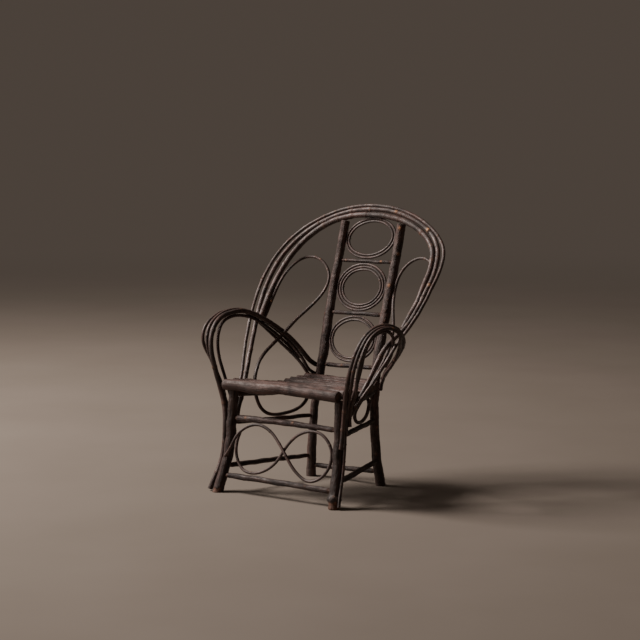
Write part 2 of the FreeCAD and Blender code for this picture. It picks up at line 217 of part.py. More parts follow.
    (-18.9, 222.1, 682.8), (6, 221.9, 682.5), (30.3, 223.6, 687.5), (52.6, 227, 698.1), (70.8, 232.2, 714.2), (82.2, 239.1, 735.2),
    (83.8, 246.7, 758.8), (75, 253.9, 780.9), (58.3, 259.5, 798.3), (36.6, 263.4, 810.1), (12.6, 265.3, 816.1), (-12.3, 265.5, 816.6),
    (-36.7, 263.9, 811.7), (-59, 260.5, 801.3), (-77.4, 255.3, 785.3)]),
    'back_ring_lower_outer': (4.3, [
    (-92.4, 195.8, 599.1), (-103.5, 189.3, 578.9), (-107.7, 181.8, 556), (-104.3, 174.2, 532.6), (-93.7, 167.3, 511.4), (-77.4, 161.7, 494),
    (-57.1, 157.5, 481.1), (-34.4, 154.8, 472.7), (-10.5, 153.5, 468.7), (13.8, 153.6, 469.2), (37.7, 155.2, 473.9), (60, 158.2, 483.1),
    (79.7, 162.6, 496.9), (95.1, 168.5, 515), (104.3, 175.6, 536.8), (105.6, 183.2, 560.4), (98.7, 190.6, 583), (85, 196.9, 602.5),
    (66.3, 201.9, 617.8), (44.5, 205.4, 628.5), (20.8, 207.4, 634.8), (-3.7, 208, 636.7), (-28.2, 207.2, 634.2), (-51.8, 205, 627.3),
    (-73.4, 201.3, 615.9), (-91.6, 196.1, 600)]),
    'back_ring_lower_inner': (4.3, [
    (78.8, 167.7, 512.5), (91.1, 174.3, 532.7), (94.7, 181.7, 555.7), (88.5, 189, 578.2), (74.3, 195.2, 597.2), (54.8, 199.8, 611.2),
    (32.2, 202.7, 620.3), (8, 204, 624.5), (-16.5, 203.9, 623.9), (-40.3, 202.1, 618.5), (-62.3, 198.8, 608.2), (-80.8, 193.8, 592.9),
    (-93.3, 187.3, 572.9), (-97.1, 179.9, 549.9), (-91.2, 172.5, 527.3), (-77.1, 166.4, 508.3), (-57.7, 161.7, 494.1), (-35.2, 158.8, 484.9),
    (-11.1, 157.4, 480.6), (13.4, 157.5, 481.1), (37.3, 159.2, 486.3), (59.4, 162.5, 496.4), (78, 167.4, 511.6)]),
}
NAILS = {
    # under side of the head, direction, shank length, pieces the shank goes through
    'nails_hoop': [
        ((69.7, 341.0, 1064.2), (-0.1342, -0.3242, -0.9364), 49, ('hoop_cane_inner', 'hoop_cane_middle', 'hoop_cane_outer')),
        ((-83.6, 340.5, 1063.3), (0.1331, -0.3213, -0.9376), 48.1, ('hoop_cane_inner', 'hoop_cane_middle', 'hoop_cane_outer')),
        ((229.7, 325.6, 1018.2), (-0.4301, -0.2895, -0.8551), 25.2, ('hoop_cane_middle', 'hoop_cane_outer')),
        ((-241.8, 325.4, 1016.9), (0.4536, -0.3412, -0.8233), 28.8, ('hoop_cane_middle', 'hoop_cane_outer')),
        ((279.6, -185.3, 371.2), (-0.9204, 0.3801, -0.0915), 25.5, ('hoop_cane_middle', 'hoop_cane_outer')),
        ((-280.7, -206.5, 342.9), (0.9587, 0.2798, 0.0512), 28, ('hoop_cane_middle', 'hoop_cane_outer')),
        ((348.3, 15.9, 636.2), (-0.7603, 0.6225, -0.1856), 32, ('hoop_cane_inner', 'hoop_cane_middle')),
        ((-350.2, 11.6, 625.4), (0.967, 0.1544, 0.2026), 32, ('hoop_cane_inner', 'hoop_cane_middle')),
        ((-269.1, -229.6, 279.1), (0.4759, -0.8795, -0.003), 30.2, ('front_leg_left', 'front_stretcher_upper', 'hoop_cane_outer')),
        ((261.5, -230.0, 278.7), (-0.4931, -0.8679, 0.0592), 30, ('front_leg_right', 'front_stretcher_upper', 'hoop_cane_outer')),
        ((-250.0, -223.1, 284.5), (-0.0544, -0.9962, 0.0683), 32.2, ('front_leg_left', 'front_stretcher_upper', 'hoop_cane_middle')),
        ((242.5, -222.9, 282.6), (0.0507, -0.997, 0.0589), 32.4, ('front_leg_right', 'front_stretcher_upper', 'hoop_cane_middle')),
        ((-156.8, 336.0, 1048.1), (0.3299, -0.3163, -0.8894), 79.2, ('back_post_left', 'hoop_cane_inner', 'hoop_cane_middle', 'hoop_cane_outer')),
        ((123.8, 338.5, 1054.6), (0.0599, -0.3399, -0.9386), 85.3, ('back_post_right', 'hoop_cane_inner', 'hoop_cane_middle', 'hoop_cane_outer')),
    ],
    'nails_arms': [
        ((-292.5, -266.2, 233.1), (0.9974, 0.0716, -0.0014), 33.7, ('arm_left_cane_inner', 'front_leg_left')),
        ((-301.5, -280.2, 107.6), (0.9816, -0.1842, -0.0513), 35.4, ('arm_left_cane_inner', 'front_leg_left')),
        ((-283.9, -242.3, 294.4), (0.8782, -0.4768, -0.039), 31.9, ('arm_left_cane_middle', 'front_leg_left')),
        ((-274.9, -234.4, 309.4), (0.6951, -0.7188, -0.0105), 29.9, ('arm_left_cane_under', 'front_leg_left')),
        ((-305.2, -236.6, 306.3), (0.5348, -0.8173, 0.2146), 32.4, ('arm_left_cane_inner', 'arm_left_cane_outer')),
        ((-369.0, -124.2, 671.8), (0.9518, -0.1246, -0.2804), 30.8, ('arm_left_cane_inner', 'arm_left_cane_middle')),
        ((-345.5, 1.6, 609.4), (0.9489, -0.1049, 0.2978), 26.4, ('arm_left_cane_outer', 'hoop_cane_middle')),
        ((-280.2, 81.2, 522.1), (0.5106, 0.5294, 0.6775), 22.9, ('arm_left_cane_outer', 'arm_left_cane_under')),
        ((-228.3, 103.5, 543.9), (-0.7658, 0.0433, -0.6416), 29.7, ('arm_left_cane_inner', 'arm_left_cane_middle')),
        ((-168.8, 149.2, 445.8), (0.9983, 0.0303, -0.0498), 35, ('arm_left_cane_inner', 'back_post_left')),
        ((-164.8, 140.4, 413.1), (0.994, 0.0809, -0.073), 29.1, ('arm_left_cane_middle', 'back_post_left')),
        ((-167.0, 135.8, 389.5), (0.9889, 0.0778, -0.1267), 29.4, ('arm_left_cane_outer', 'back_post_left')),
        ((274.3, -287.0, 221.7), (-0.7904, 0.6074, -0.0792), 31.8, ('arm_right_cane_inner', 'front_leg_right')),
        ((277.5, -256.4, 285.6), (-0.9936, -0.1077, 0.0346), 28.5, ('arm_right_cane_middle', 'front_leg_right', 'front_stretcher_upper')),
        ((267.9, -236.0, 311.2), (-0.706, -0.7081, -0.0111), 28.2, ('arm_right_cane_under', 'front_leg_right')),
        ((281.7, -237.0, 324.0), (-0.3658, -0.9267, 0.0865), 23.5, ('arm_right_cane_middle', 'arm_right_cane_outer')),
        ((350.4, -264.8, 590.9), (-0.9626, 0.264, 0.0604), 26.9, ('arm_right_cane_inner', 'arm_right_cane_middle')),
        ((364.5, -6.8, 586.0), (-0.8636, -0.2227, 0.4523), 26, ('arm_right_cane_inner', 'hoop_cane_outer')),
        ((322.3, -32.9, 584.0), (0.8466, 0.2218, -0.4837), 22.3, ('arm_right_cane_under', 'hoop_cane_outer')),
        ((344.9, -23.6, 556.8), (0.0962, 0.619, 0.7794), 23.8, ('arm_right_cane_middle', 'arm_right_cane_outer')),
        ((168.4, 151.7, 416.0), (-0.9809, -0.1919, 0.0306), 33.3, ('arm_right_cane_inner', 'back_post_right')),
        ((167.1, 141.8, 396.6), (-0.9985, -0.0458, -0.0297), 30.6, ('arm_right_cane_middle', 'back_post_right')),
        ((167.4, 136.1, 377.2), (-0.999, 0.0219, -0.0395), 30.2, ('arm_right_cane_outer', 'back_post_right', 'seat_side_rail_right')),
    ],
    'nails_seat': [
        ((-236.7, -225.3, 426.6), (0.0024, -0.0, -1.0), 54.4, ('seat_side_rail_left',)),
        ((236.2, -225.3, 428.3), (0.0024, -0.0, -1.0), 55.7, ('seat_side_rail_right',)),
        ((-223.8, -181.3, 420.6), (-0.0038, -0.0, -1.0), 53.6, ('seat_side_rail_left',)),
        ((223.6, -181.3, 417.1), (-0.0038, -0.0, -1.0), 50, ('seat_side_rail_right',)),
        ((-214.2, -144.8, 410.7), (0.0005, -0.0, -1.0), 46.4, ('seat_side_rail_left',)),
        ((212.7, -144.8, 411.1), (0.0005, -0.0, -1.0), 46.8, ('seat_side_rail_right',)),
        ((-205.7, -112.3, 407.5), (-0.0032, -0.0, -1.0), 44.9, ('seat_side_rail_left',)),
        ((204.4, -112.3, 405.1), (-0.0032, -0.0, -1.0), 42.6, ('seat_side_rail_right',)),
        ((-197.4, -81.3, 403.5), (-0.0037, -0.0, -1.0), 43, ('seat_side_rail_left',)),
        ((195.0, -81.3, 400.4), (-0.0037, -0.0, -1.0), 39.8, ('seat_side_rail_right',)),
        ((-188.3, -52.3, 399.4), (0.0038, -0.0, -1.0), 39.6, ('seat_side_rail_left',)),
        ((187.1, -52.3, 402.4), (0.0038, -0.0, -1.0), 42.5, ('seat_side_rail_right',)),
        ((-179.5, -24.3, 398.6), (0.0066, -0.0, -1.0), 38, ('seat_side_rail_left',)),
        ((179.0, -24.3, 403.2), (0.0066, -0.0, -1.0), 42.4, ('seat_side_rail_right',)),
        ((-171.8, 4.7, 403.5), (0.0033, -0.0, -1.0), 41.8, ('seat_side_rail_left',)),
        ((170.9, 4.7, 405.7), (0.0033, -0.0, -1.0), 44, ('seat_side_rail_right',)),
        ((-163.0, 35.7, 405.9), (0.0035, -0.0, -1.0), 42.9, ('seat_side_rail_left',)),
        ((161.7, 35.7, 408.1), (0.0035, -0.0, -1.0), 45, ('seat_side_rail_right',)),
        ((-154.7, 67.7, 408.3), (0.0047, -0.0, -1.0), 43.9, ('seat_side_rail_left',)),
        ((152.4, 67.7, 411.0), (0.0047, -0.0, -1.0), 46.4, ('seat_side_rail_right',)),
        ((-145.8, 101.7, 415.0), (-0.0059, -0.0, -1.0), 48.6, ('seat_side_rail_left',)),
        ((143.3, 101.7, 411.7), (-0.0059, -0.0, -1.0), 45.3, ('seat_side_rail_right',)),
    ],
    'nails_back': [
        ((-97.4, 304.1, 931.2), (-0.9954, -0.0768, 0.0576), 33, ('back_post_left', 'back_ring_upper_inner', 'back_ring_upper_outer')),
        ((92.0, 308.2, 943.8), (0.9946, -0.093, 0.0461), 35.9, ('back_post_right', 'back_ring_upper_inner', 'back_ring_upper_outer')),
        ((-85.7, 242.7, 746.5), (-1.0, -0.0076, -0.005), 46.2, ('back_post_left', 'back_ring_middle_inner', 'back_ring_middle_mid', 'back_ring_middle_outer')),
        ((78.7, 244.0, 750.4), (0.9973, -0.0285, -0.0678), 46.8, ('back_post_right', 'back_ring_middle_inner', 'back_ring_middle_mid', 'back_ring_middle_outer')),
        ((-91.5, 183.1, 560.1), (-0.9491, -0.0904, -0.3019), 35.8, ('back_post_left', 'back_ring_lower_inner', 'back_ring_lower_outer')),
        ((89.3, 180.2, 551.1), (0.9965, 0.028, 0.079), 35.3, ('back_post_right', 'back_ring_lower_inner', 'back_ring_lower_outer')),
    ],
    'nails_lower': [
        ((290.7, -314.2, 45.2), (-0.9747, 0.125, -0.1852), 28.2, ('front_leg_right', 'leg_cane_right')),
        ((279.3, -271.6, 169.4), (-0.9998, -0.0186, -0.0028), 27.4, ('front_leg_right', 'leg_cane_right')),
        ((276.9, -261.4, 231.0), (-0.9978, -0.066, -0.0061), 27.1, ('front_leg_right', 'leg_cane_right')),
        ((-317.7, 38.0, 628.5), (-0.3958, -0.722, 0.5676), 26.1, ('hoop_cane_inner', 'side_scroll_left')),
        ((-243.4, 69.2, 575.5), (-0.8872, 0.4104, -0.2107), 25.1, ('arm_left_cane_inner', 'side_scroll_left')),
        ((-165.4, 238.0, 764.6), (0.9484, 0.3001, -0.1019), 26.4, ('back_post_left', 'side_scroll_left')),
        ((319.3, 237.8, 851.1), (0.52, -0.5305, 0.6695), 26.5, ('hoop_cane_inner', 'side_scroll_right')),
        ((158.8, 242.6, 748.7), (-0.9998, 0.0187, 0.004), 24.2, ('back_post_right', 'side_scroll_right')),
        ((145.3, 59.3, 344.0), (0.3954, 0.0685, 0.9159), 20.2, ('seat_side_rail_right', 'side_scroll_right')),
        ((-250.0, -307.5, 142.3), (-0.2922, 0.9356, -0.1979), 25.3, ('front_figure_eight', 'front_leg_left')),
        ((219.5, -281.9, 181.3), (0.9171, 0.392, -0.0724), 24.5, ('front_figure_eight', 'front_leg_right')),
    ],
}

doc = FreeCAD.newDocument("twig_chair")
sheet = doc.addObject("Spreadsheet::Sheet", "sizes")
ROW = [0]


def cell(alias, value):
    """one size: a plain number with its name"""
    ROW[0] += 1
    where = "B%d" % ROW[0]
    sheet.set("A%d" % ROW[0], alias)
    sheet.set(where, "%.3f" % value)
    sheet.setAlias(where, alias)


cell("nail_shank_radius", 1.1)
cell("nail_head_radius", 2.3)
cell("nail_head_height", 0.9)
cell("hole_lead", 1.5)
cell("tenon_taper", 12.0)
cell("end_chamfer", 1.5)
cell("log_tenon_radius", 8.5)
cell("log_tenon_bottom", 375.0)
cell("log_tenon_top", 413.0)
for name, (points, radii) in SAPLINGS.items():
    for i, r in enumerate(radii):
        cell("%s_radius_%d" % (name, i), r)
for name, t in CROOKED.items():
    cell(name + "_tenon_radius", t["tenon_radius"])
    for i, r in enumerate(t["radii"]):
        cell("%s_radius_%d" % (name, i), r)
for name, t in TURNED.items():
    cell(name + "_length", (V(*t[1]) - V(*t[0])).Length)
    for key, value in zip(("tenon_radius", "tenon_start", "tenon_end", "radius_start", "radius_middle", "radius_end"), t[2:8]):
        cell(name + "_" + key, value)
for name, t in SLATS.items():
    cell(name + "_length", (V(*t[1]) - V(*t[0])).Length)
    for key, value in zip(("radius_start", "radius_middle", "radius_end", "nail_start", "nail_end"), t[2:7]):
        cell(name + "_" + key, value)
for name, (r, points) in CANES.items():
    cell(name + "_radius", r)
doc.recompute()


def size(alias):
    return float(sheet.get(alias))


# ---------------------------------------------------------------- nails
SHANK, HEAD, HIGH = size("nail_shank_radius"), size("nail_head_radius"), size("nail_head_height")
HOLES = {}
for group in NAILS:
    for s, d, length, through in NAILS[group]:
        for piece in through:
            HOLES.setdefault(piece, []).append((V(*s), V(*d), length))


def drilled(name, shape, base):
    """the piece with its nail holes, in its own coordinates; each hole starts outside the bark"""
    out = size("hole_lead")
    tools = [Part.makeCylinder(SHANK, length + out, s - base - d * out, d) for s, d, length in HOLES.get(name, [])]
    return shape.cut(Part.makeCompound(tools)) if tools else shape


# ---------------------------------------------------------------- mortises
BORES = {}


def bore(leg, tip, along, radius, length):
    """a blind round hole in a leg; along points out of the leg"""
    BORES.setdefault(leg, []).append((radius, length, V(*tip), along))


for name, t in TURNED.items():
    a, b = V(*t[0]), V(*t[1])
    run = (b - a).normalize()
    bore(t[8], a, run, size(name + "_tenon_radius"), size(name + "_tenon_start"))
    bore(t[9], b, run * -1, size(name + "_tenon_radius"), size(name + "_tenon_end"))
for name, t in CROOKED.items():
    a, b = V(*t["tip_start"]), V(*t["tip_end"])
    p, q = V(*t["sections"][0]), V(*t["sections"][-1])
    bore(t["leg_start"], a, (p - a), size(name + "_tenon_radius"), (p - a).Length)
    bore(t["leg_end"], b, (q - b), size(name + "_tenon_radius"), (q - b).Length)


def bored(name, shape, base):
    for radius, length, tip, along in BORES.get(name, []):
        shape = shape.cut(Part.makeCylinder(radius, length, tip - base, along))
    return shape


def local(points, base):
    """points measured from the piece's own origin"""
    return [tuple(V(*p) - base) for p in points]


# ---------------------------------------------------------------- shapes
def ring_wire(centre, normal, radius, lead):
    """a circle across the sapling; its start stays on one side all along"""
    turn = FreeCAD.Rotation(lead, normal)
    if abs(lead.z) < 0.5:
        turn = turn.multiply(FreeCAD.Rotation(V(0, 0, 1), lead))
    e = Part.makeCircle(radius)
    e.Placement = FreeCAD.Placement(centre, turn)
    return Part.Wire([e])


def sapling(points, radii, flat_start=None, flat_end=None):
    """smooth tapering round body through the sections"""
    P = [V(*p) for p in points]
    lead = V(0, 0, 1) if abs((P[-1] - P[0]).z) > 0.7 * (P[-1] - P[0]).Length else (V(1, 0, 0) if abs((P[-1] - P[0]).x) > abs((P[-1] - P[0]).y) else V(0, 1, 0))
    wires = []
    for i, p in enumerate(P):
        n = (P[min(i + 1, len(P) - 1)] - P[max(i - 1, 0)]).normalize()
        if i == 0 and flat_start is not None:
            n = flat_start
        if i == len(P) - 1 and flat_end is not None:
            n = flat_end
        wires.append(ring_wire(p, n, radii[i], lead))
    return Part.makeLoft(wires, True, False)


def rounded(points):
    """a bent centreline: straight runs joined by tangent arcs"""
    P = [V(*p) for p in points]
    edges, start = [], P[0]
    for i in range(1, len(P) - 1):
        a, b, c = P[i - 1], P[i], P[i + 1]
        u, w = a - b, c - b
        t = 0.45 * min(u.Length, w.Length)
        u.normalize()
        w.normalize()
        angle = math.acos(max(-1.0, min(1.0, -u.dot(w))))
        if angle < 2e-3:
            continue
        p, q = b + u * t, b + w * t
        mid_line = (u + w).normalize()
        r = t / math.tan(angle / 2)
        mid = b + mid_line * (math.hypot(r, t) - r)
        edges.append(Part.LineSegment(start, p).toShape())
        edges.append(Part.Arc(p, mid, q).toShape())
        start = q
    edges.append(Part.LineSegment(start, P[-1]).toShape())
    return Part.Wire(edges), P[0], (P[1] - P[0])


def cane(points, radius):
    """round cane along its centreline"""
    wire, start, along = rounded(points)
    section = Part.Wire([Part.makeCircle(radius, start, along)])
    return wire.makePipeShell([section], True, False)


NODES = []


def piece(name, shape, base):
    """a sub-part modelled from its own origin and then placed at base"""
    o = doc.addObject("Part::Feature", name)
    o.Shape = shape
    o.Placement = FreeCAD.Placement(base, FreeCAD.Rotation())
    o.Label = name
    NODES.append(o)
    return o


def one(shape, name):
    """the single solid of a cut result"""
    solids = sorted(shape.Solids, key=lambda s: -s.Volume)
    if len(solids) > 1 and solids[1].Volume > 0.5:
        print("loose bit in", name, [(round(s.Volume, 2), s.BoundBox) for s in solids[1:]])
    return solids[0]


# ---------------------------------------------------------------- legs, posts and the seat log
LOG_POINTS, LOG_RADII = SAPLINGS["seat_front_log"]
LOG_SIZES = [size("seat_front_log_radius_%d" % i) for i in range(len(LOG_RADII))]


def log_tenon(leg, base):
    """the round tenon on top of a front leg"""
    top = SAPLINGS[leg][0][-1]
    low = size("log_tenon_bottom")
    return Part.makeCylinder(size("log_tenon_radius"), size("log_tenon_top") - low, V(top[0], top[1] - 8.0, low) - base)


for name, (points, radii) in SAPLINGS.items():
    base = V(*points[0])
    if name == "seat_front_log":
        body = sapling(local(LOG_POINTS, base), LOG_SIZES)
        for leg in ("front_leg_left", "front_leg_right"):
            body = body.cut(log_tenon(leg, base))
    else:
        body = sapling(local(points, base), [size("%s_radius_%d" % (name, i)) for i in range(len(radii))], flat_start=V(0, 0, 1))
        if name.startswith("front_leg"):
            # a saddle for the log and a round tenon up into it
            body = body.cut(sapling(local(LOG_POINTS, base), LOG_SIZES)).fuse(log_tenon(name, base))
    piece(name, one(drilled(name, bored(name, body, base), base), name), base)

# ---------------------------------------------------------------- crooked rails with whittled ends
for name, t in CROOKED.items():
    base = V(*t["tip_start"])
    P = [V(*p) - base for p in t["sections"]]
    R = [size("%s_radius_%d" % (name, i)) for i in range(len(t["radii"]))]
    tenon = size(name + "_tenon_radius")
    taper = size("tenon_taper")
    tips = [V(0, 0, 0), V(*t["tip_end"]) - base]
    out = [(P[0] - tips[0]).normalize(), (P[-1] - tips[1]).normalize()]
    # the body between the two tapers
    run = [P[0] + out[0] * taper] + P[1:-1] + [P[-1] + out[1] * taper]
    body = sapling([tuple(p) for p in run], R, flat_start=out[0], flat_end=out[1] * -1)
    for tip, shoulder, along, r in zip(tips, (P[0], P[-1]), out, (R[0], R[-1])):
        body = body.fuse(Part.makeCone(tenon, r, taper, shoulder, along))
        body = body.fuse(Part.makeCylinder(tenon, (shoulder - tip).Length, tip, along))
    piece(name, one(drilled(name, body, base), name), base)

# ---------------------------------------------------------------- turned rods with sketched profiles
def origin_plane(body, role):
    return [f for f in body.Origin.OriginFeatures if f.Role == role][0]


def profile(body, label, knots):
    """closed outline on the XZ plane; each knot is (x, y, x formula, y formula)"""
    sk = body.newObject("Sketcher::SketchObject", label)
    sk.AttachmentSupport = [(origin_plane(body, "XZ_Plane"), "")]
    sk.MapMode = "FlatFace"
    import Sketcher
    m = len(knots)
    for i in range(m):
        a, b = knots[i], knots[(i + 1) % m]
        sk.addGeometry(Part.LineSegment(V(a[0], a[1], 0), V(b[0], b[1], 0)), False)
    for i in range(m):
        sk.addConstraint(Sketcher.Constraint("Coincident", i, 2, (i + 1) % m, 1))
    for i, (x, y, fx, fy) in enumerate(knots):
        for kind, value, formula in (("DistanceX", x, fx), ("DistanceY", y, fy)):
            if formula is None:
                if kind == "DistanceX":
                    sk.addConstraint(Sketcher.Constraint("PointOnObject", i, 1, -2))
                else:
                    sk.addConstraint(Sketcher.Constraint("PointOnObject", i, 1, -1))
            else:
                k = sk.addConstraint(Sketcher.Constraint(kind, -1, 1, i, 1, value))
                sk.setExpression("Constraints[%d]" % k, formula)
    return sk


def turn(body, sk):
    rev = body.newObject("PartDesign::Revolution", body.Name + "_turned")
    rev.Profile = sk
    rev.ReferenceAxis = (sk, ["V_Axis"])
    rev.Angle = 360
    body.Tip = rev
    return rev


def seat_on(body, start, end, up=V(0, 0, 1)):
    """local Z runs from start to end, local Y looks up"""
    z = (end - start).normalize()
    y = (up - z * z.dot(up)).normalize()
    x = y.cross(z)
    m = FreeCAD.Matrix(x.x, y.x, z.x, start.x, x.y, y.y, z.y, start.y, x.z, y.z, z.z, start.z, 0, 0, 0, 1)
    body.Placement = FreeCAD.Placement(m)


for name, t in TURNED.items():
    body = doc.addObject("PartDesign::Body", name)
    f = "sizes.%s_" % name
    length, rt, ls, le, r0, r1, r2 = [size(name + "_" + k) for k in ("length", "tenon_radius", "tenon_start", "tenon_end", "radius_start", "radius_middle", "radius_end")]
    taper = size("tenon_taper")
    sk = profile(body, name + "_outline", [
        (0, 0, None, None),
        (rt, 0, f + "tenon_radius", None),
        (rt, ls, f + "tenon_radius", f + "tenon_start"),
        (r0, ls + taper, f + "radius_start", f + "tenon_start + sizes.tenon_taper"),
        (r1, length / 2, f + "radius_middle", f + "length / 2"),
        (r2, length - le - taper, f + "radius_end", f + "length - " + f + "tenon_end - sizes.tenon_taper"),
        (rt, length - le, f + "tenon_radius", f + "length - " + f + "tenon_end"),
        (rt, length, f + "tenon_radius", f + "length"),
        (0, length, None, f + "length")])
    turn(body, sk)
    seat_on(body, V(*t[0]), V(*t[1]))
    body.Label = name
    NODES.append(body)

for name, t in SLATS.items():
    import Sketcher
    body = doc.addObject("PartDesign::Body", name)
    f = "sizes.%s_" % name
    length, r0, r1, r2, n0, n1 = [size(name + "_" + k) for k in ("length", "radius_start", "radius_middle", "radius_end", "nail_start", "nail_end")]
    c = size("end_chamfer")
    sk = profile(body, name + "_outline", [
        (0, 0, None, None),
        (r0 - c, 0, f + "radius_start - sizes.end_chamfer", None),
        (r0, c, f + "radius_start", "sizes.end_chamfer"),
        (r1, length / 2, f + "radius_middle", f + "length / 2"),
        (r2, length - c, f + "radius_end", f + "length - sizes.end_chamfer"),
        (r2 - c, length, f + "radius_end - sizes.end_chamfer", f + "length"),
        (0, length, None, f + "length")])
    rev = turn(body, sk)
    doc.recompute()
    before = body.Shape.Volume
    holes = body.newObject("Sketcher::SketchObject", name + "_nail_holes")
    holes.AttachmentSupport = [(origin_plane(body, "XZ_Plane"), "")]
    holes.MapMode = "FlatFace"
    for i, (at, key) in enumerate(((n0, "nail_start"), (n1, "nail_end"))):
        holes.addGeometry(Part.Circle(V(0, at, 0), V(0, 0, 1), SHANK), False)
        holes.addConstraint(Sketcher.Constraint("PointOnObject", i, 3, -2))
        k = holes.addConstraint(Sketcher.Constraint("DistanceY", -1, 1, i, 3, at))
        holes.setExpression("Constraints[%d]" % k, f + key)
        k = holes.addConstraint(Sketcher.Constraint("Radius", i, SHANK))
        holes.setExpression("Constraints[%d]" % k, "sizes.nail_shank_radius")
    pocket = body.newObject("PartDesign::Pocket", name + "_nail_pocket")
    pocket.Profile = holes
    pocket.Midplane = True
    pocket.Type = 0
    pocket.Length = 80
    body.Tip = pocket
    seat_on(body, V(*t[0]), V(*t[1]))
    body.Label = name
    NODES.append(body)
    doc.recompute()
    gone = before - body.Shape.Volume
    if gone < 100:
        raise SystemExit("the nail holes of %s took only %.1f mm3" % (name, gone))

# ---------------------------------------------------------------- bent canes
for name, (r, points) in CANES.items():
    base = V(*points[0])
    body = drilled(name, cane(local(points, base), size(name + "_radius")), base)
    piece(name, one(body, name), base)

# ---------------------------------------------------------------- nails
for group, rows in NAILS.items():
    solids = []
    base = V(*rows[0][0])
    for s, d, length, through in rows:
        s, d = V(*s) - base, V(*d)
        shank = Part.makeCylinder(SHANK, length, s, d)
        head = Part.makeCylinder(HEAD, HIGH, s - d.normalize() * HIGH, d)
        solids.append(shank.fuse(head).Solids[0])
    piece(group, Part.makeCompound(solids), base)

doc.recompute()
for o in doc.Objects:
    if "Invalid" in o.State or "Error" in o.State:
        raise SystemExit("%s is in state %s" % (o.Name, o.State))
for o in NODES:
    if o.Shape.isNull() or not o.Shape.isValid() or o.Shape.Volume < 1:
        raise SystemExit("%s has no good shape" % o.Label)
os.makedirs("parts", exist_ok=True)
for o in NODES:
    o.Shape.exportStep("parts/%s.step" % o.Label)
low = [min(getattr(o.Shape.BoundBox, k) for o in NODES) for k in ("XMin", "YMin", "ZMin")]
high = [max(getattr(o.Shape.BoundBox, k) for o in NODES) for k in ("XMax", "YMax", "ZMax")]
print(len(NODES), "sub-parts; box", [round(v, 2) for v in low], [round(v, 2) for v in high])
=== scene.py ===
import math

import bpy
import numpy as np
from mathutils import Matrix


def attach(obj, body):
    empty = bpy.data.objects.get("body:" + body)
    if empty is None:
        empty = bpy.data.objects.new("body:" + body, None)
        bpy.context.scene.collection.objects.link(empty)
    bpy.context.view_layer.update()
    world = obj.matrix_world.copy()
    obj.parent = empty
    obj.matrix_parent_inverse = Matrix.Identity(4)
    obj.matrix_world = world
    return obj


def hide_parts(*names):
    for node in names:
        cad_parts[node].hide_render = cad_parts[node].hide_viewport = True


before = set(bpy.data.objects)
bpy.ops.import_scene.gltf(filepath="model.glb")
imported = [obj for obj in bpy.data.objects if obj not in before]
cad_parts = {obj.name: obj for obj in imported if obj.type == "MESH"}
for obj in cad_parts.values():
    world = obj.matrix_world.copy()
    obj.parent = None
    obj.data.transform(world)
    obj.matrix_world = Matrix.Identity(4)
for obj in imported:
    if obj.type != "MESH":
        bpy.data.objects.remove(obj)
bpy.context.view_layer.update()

FINE = 1.0

# Centrelines in millimetres, in the row frame: the same members as the construction model.
SAPLINGS = {
    'front_leg_left': ([
    (-276, -323, 0), (-268.7, -303.6, 55.1), (-261.5, -286.2, 110.3), (-256.6, -273, 165.4), (-254.5, -264.7, 220.6), (-252.6, -260.4, 275.7),
    (-249.4, -259, 330.9), (-245.4, -259.1, 389)],
    [21.0, 19.93, 19.29, 19.0, 19.0, 19.0, 19.0, 19.0]),
    'front_leg_right': ([
    (264, -324.6, 0), (256, -304.2, 55.1), (250.3, -286.3, 110.3), (247.1, -272.9, 165.4), (245.2, -264.5, 220.6), (244.4, -260.4, 275.7),
    (244.9, -259, 330.9), (246.4, -259.1, 389)],
    [21.5, 20.79, 20.29, 19.93, 19.57, 19.21, 19.0, 19.0]),
    'back_post_left': ([
    (-170.8, 138.5, 0), (-163.6, 130.5, 72.4), (-157, 125.5, 144.7), (-150.7, 124.5, 217.1), (-143.6, 127.3, 289.4), (-136, 134.7, 361.8),
    (-129.9, 148.1, 434.1), (-128.3, 167.1, 506.5), (-131.5, 189.1, 578.9), (-134.8, 211.9, 651.2), (-136.2, 235.1, 723.6), (-136.1, 258.4, 795.9),
    (-135.3, 281.5, 868.3), (-134.3, 303.4, 940.6), (-133.3, 319.7, 998.9)],
    [19.5, 17.93, 16.93, 16.5, 16.57, 16.96, 17.88, 18.97, 18.28, 17.81, 17.34, 17.25, 17.0, 16.53, 16.07]),
    'back_post_right': ([
    (160.4, 138.4, 0), (152.1, 130.2, 72.1), (145.6, 125.1, 144.3), (140.9, 124.3, 216.4), (137.1, 127.3, 288.6), (133.5, 134.6, 360.7),
    (130.9, 147.8, 432.9), (129.8, 166.6, 505), (129.2, 188.4, 577.1), (129.1, 211.2, 649.3), (129.6, 234.3, 721.4), (130.8, 257.6, 793.6),
    (132, 280.6, 865.7), (132.2, 302.2, 937.9), (131.7, 318.2, 995.8)],
    [19.5, 18.32, 17.71, 17.5, 17.5, 17.5, 18.38, 19.84, 19.46, 19.0, 18.53, 18.06, 17.85, 17.72, 17.25]),
    'seat_front_log': ([
    (-275.7, -277.3, 406), (-205.7, -277.3, 408.5), (-115.7, -277.3, 405.5), (-50.7, -277.3, 410), (4.3, -277.3, 412.5), (84.3, -277.3, 410.5),
    (164.3, -277.3, 408), (234.3, -277.3, 406), (254.3, -277.3, 405.5)],
    [20.5, 21.0, 24.5, 21.5, 19.0, 20.0, 21.5, 22.5, 21.5]),
}
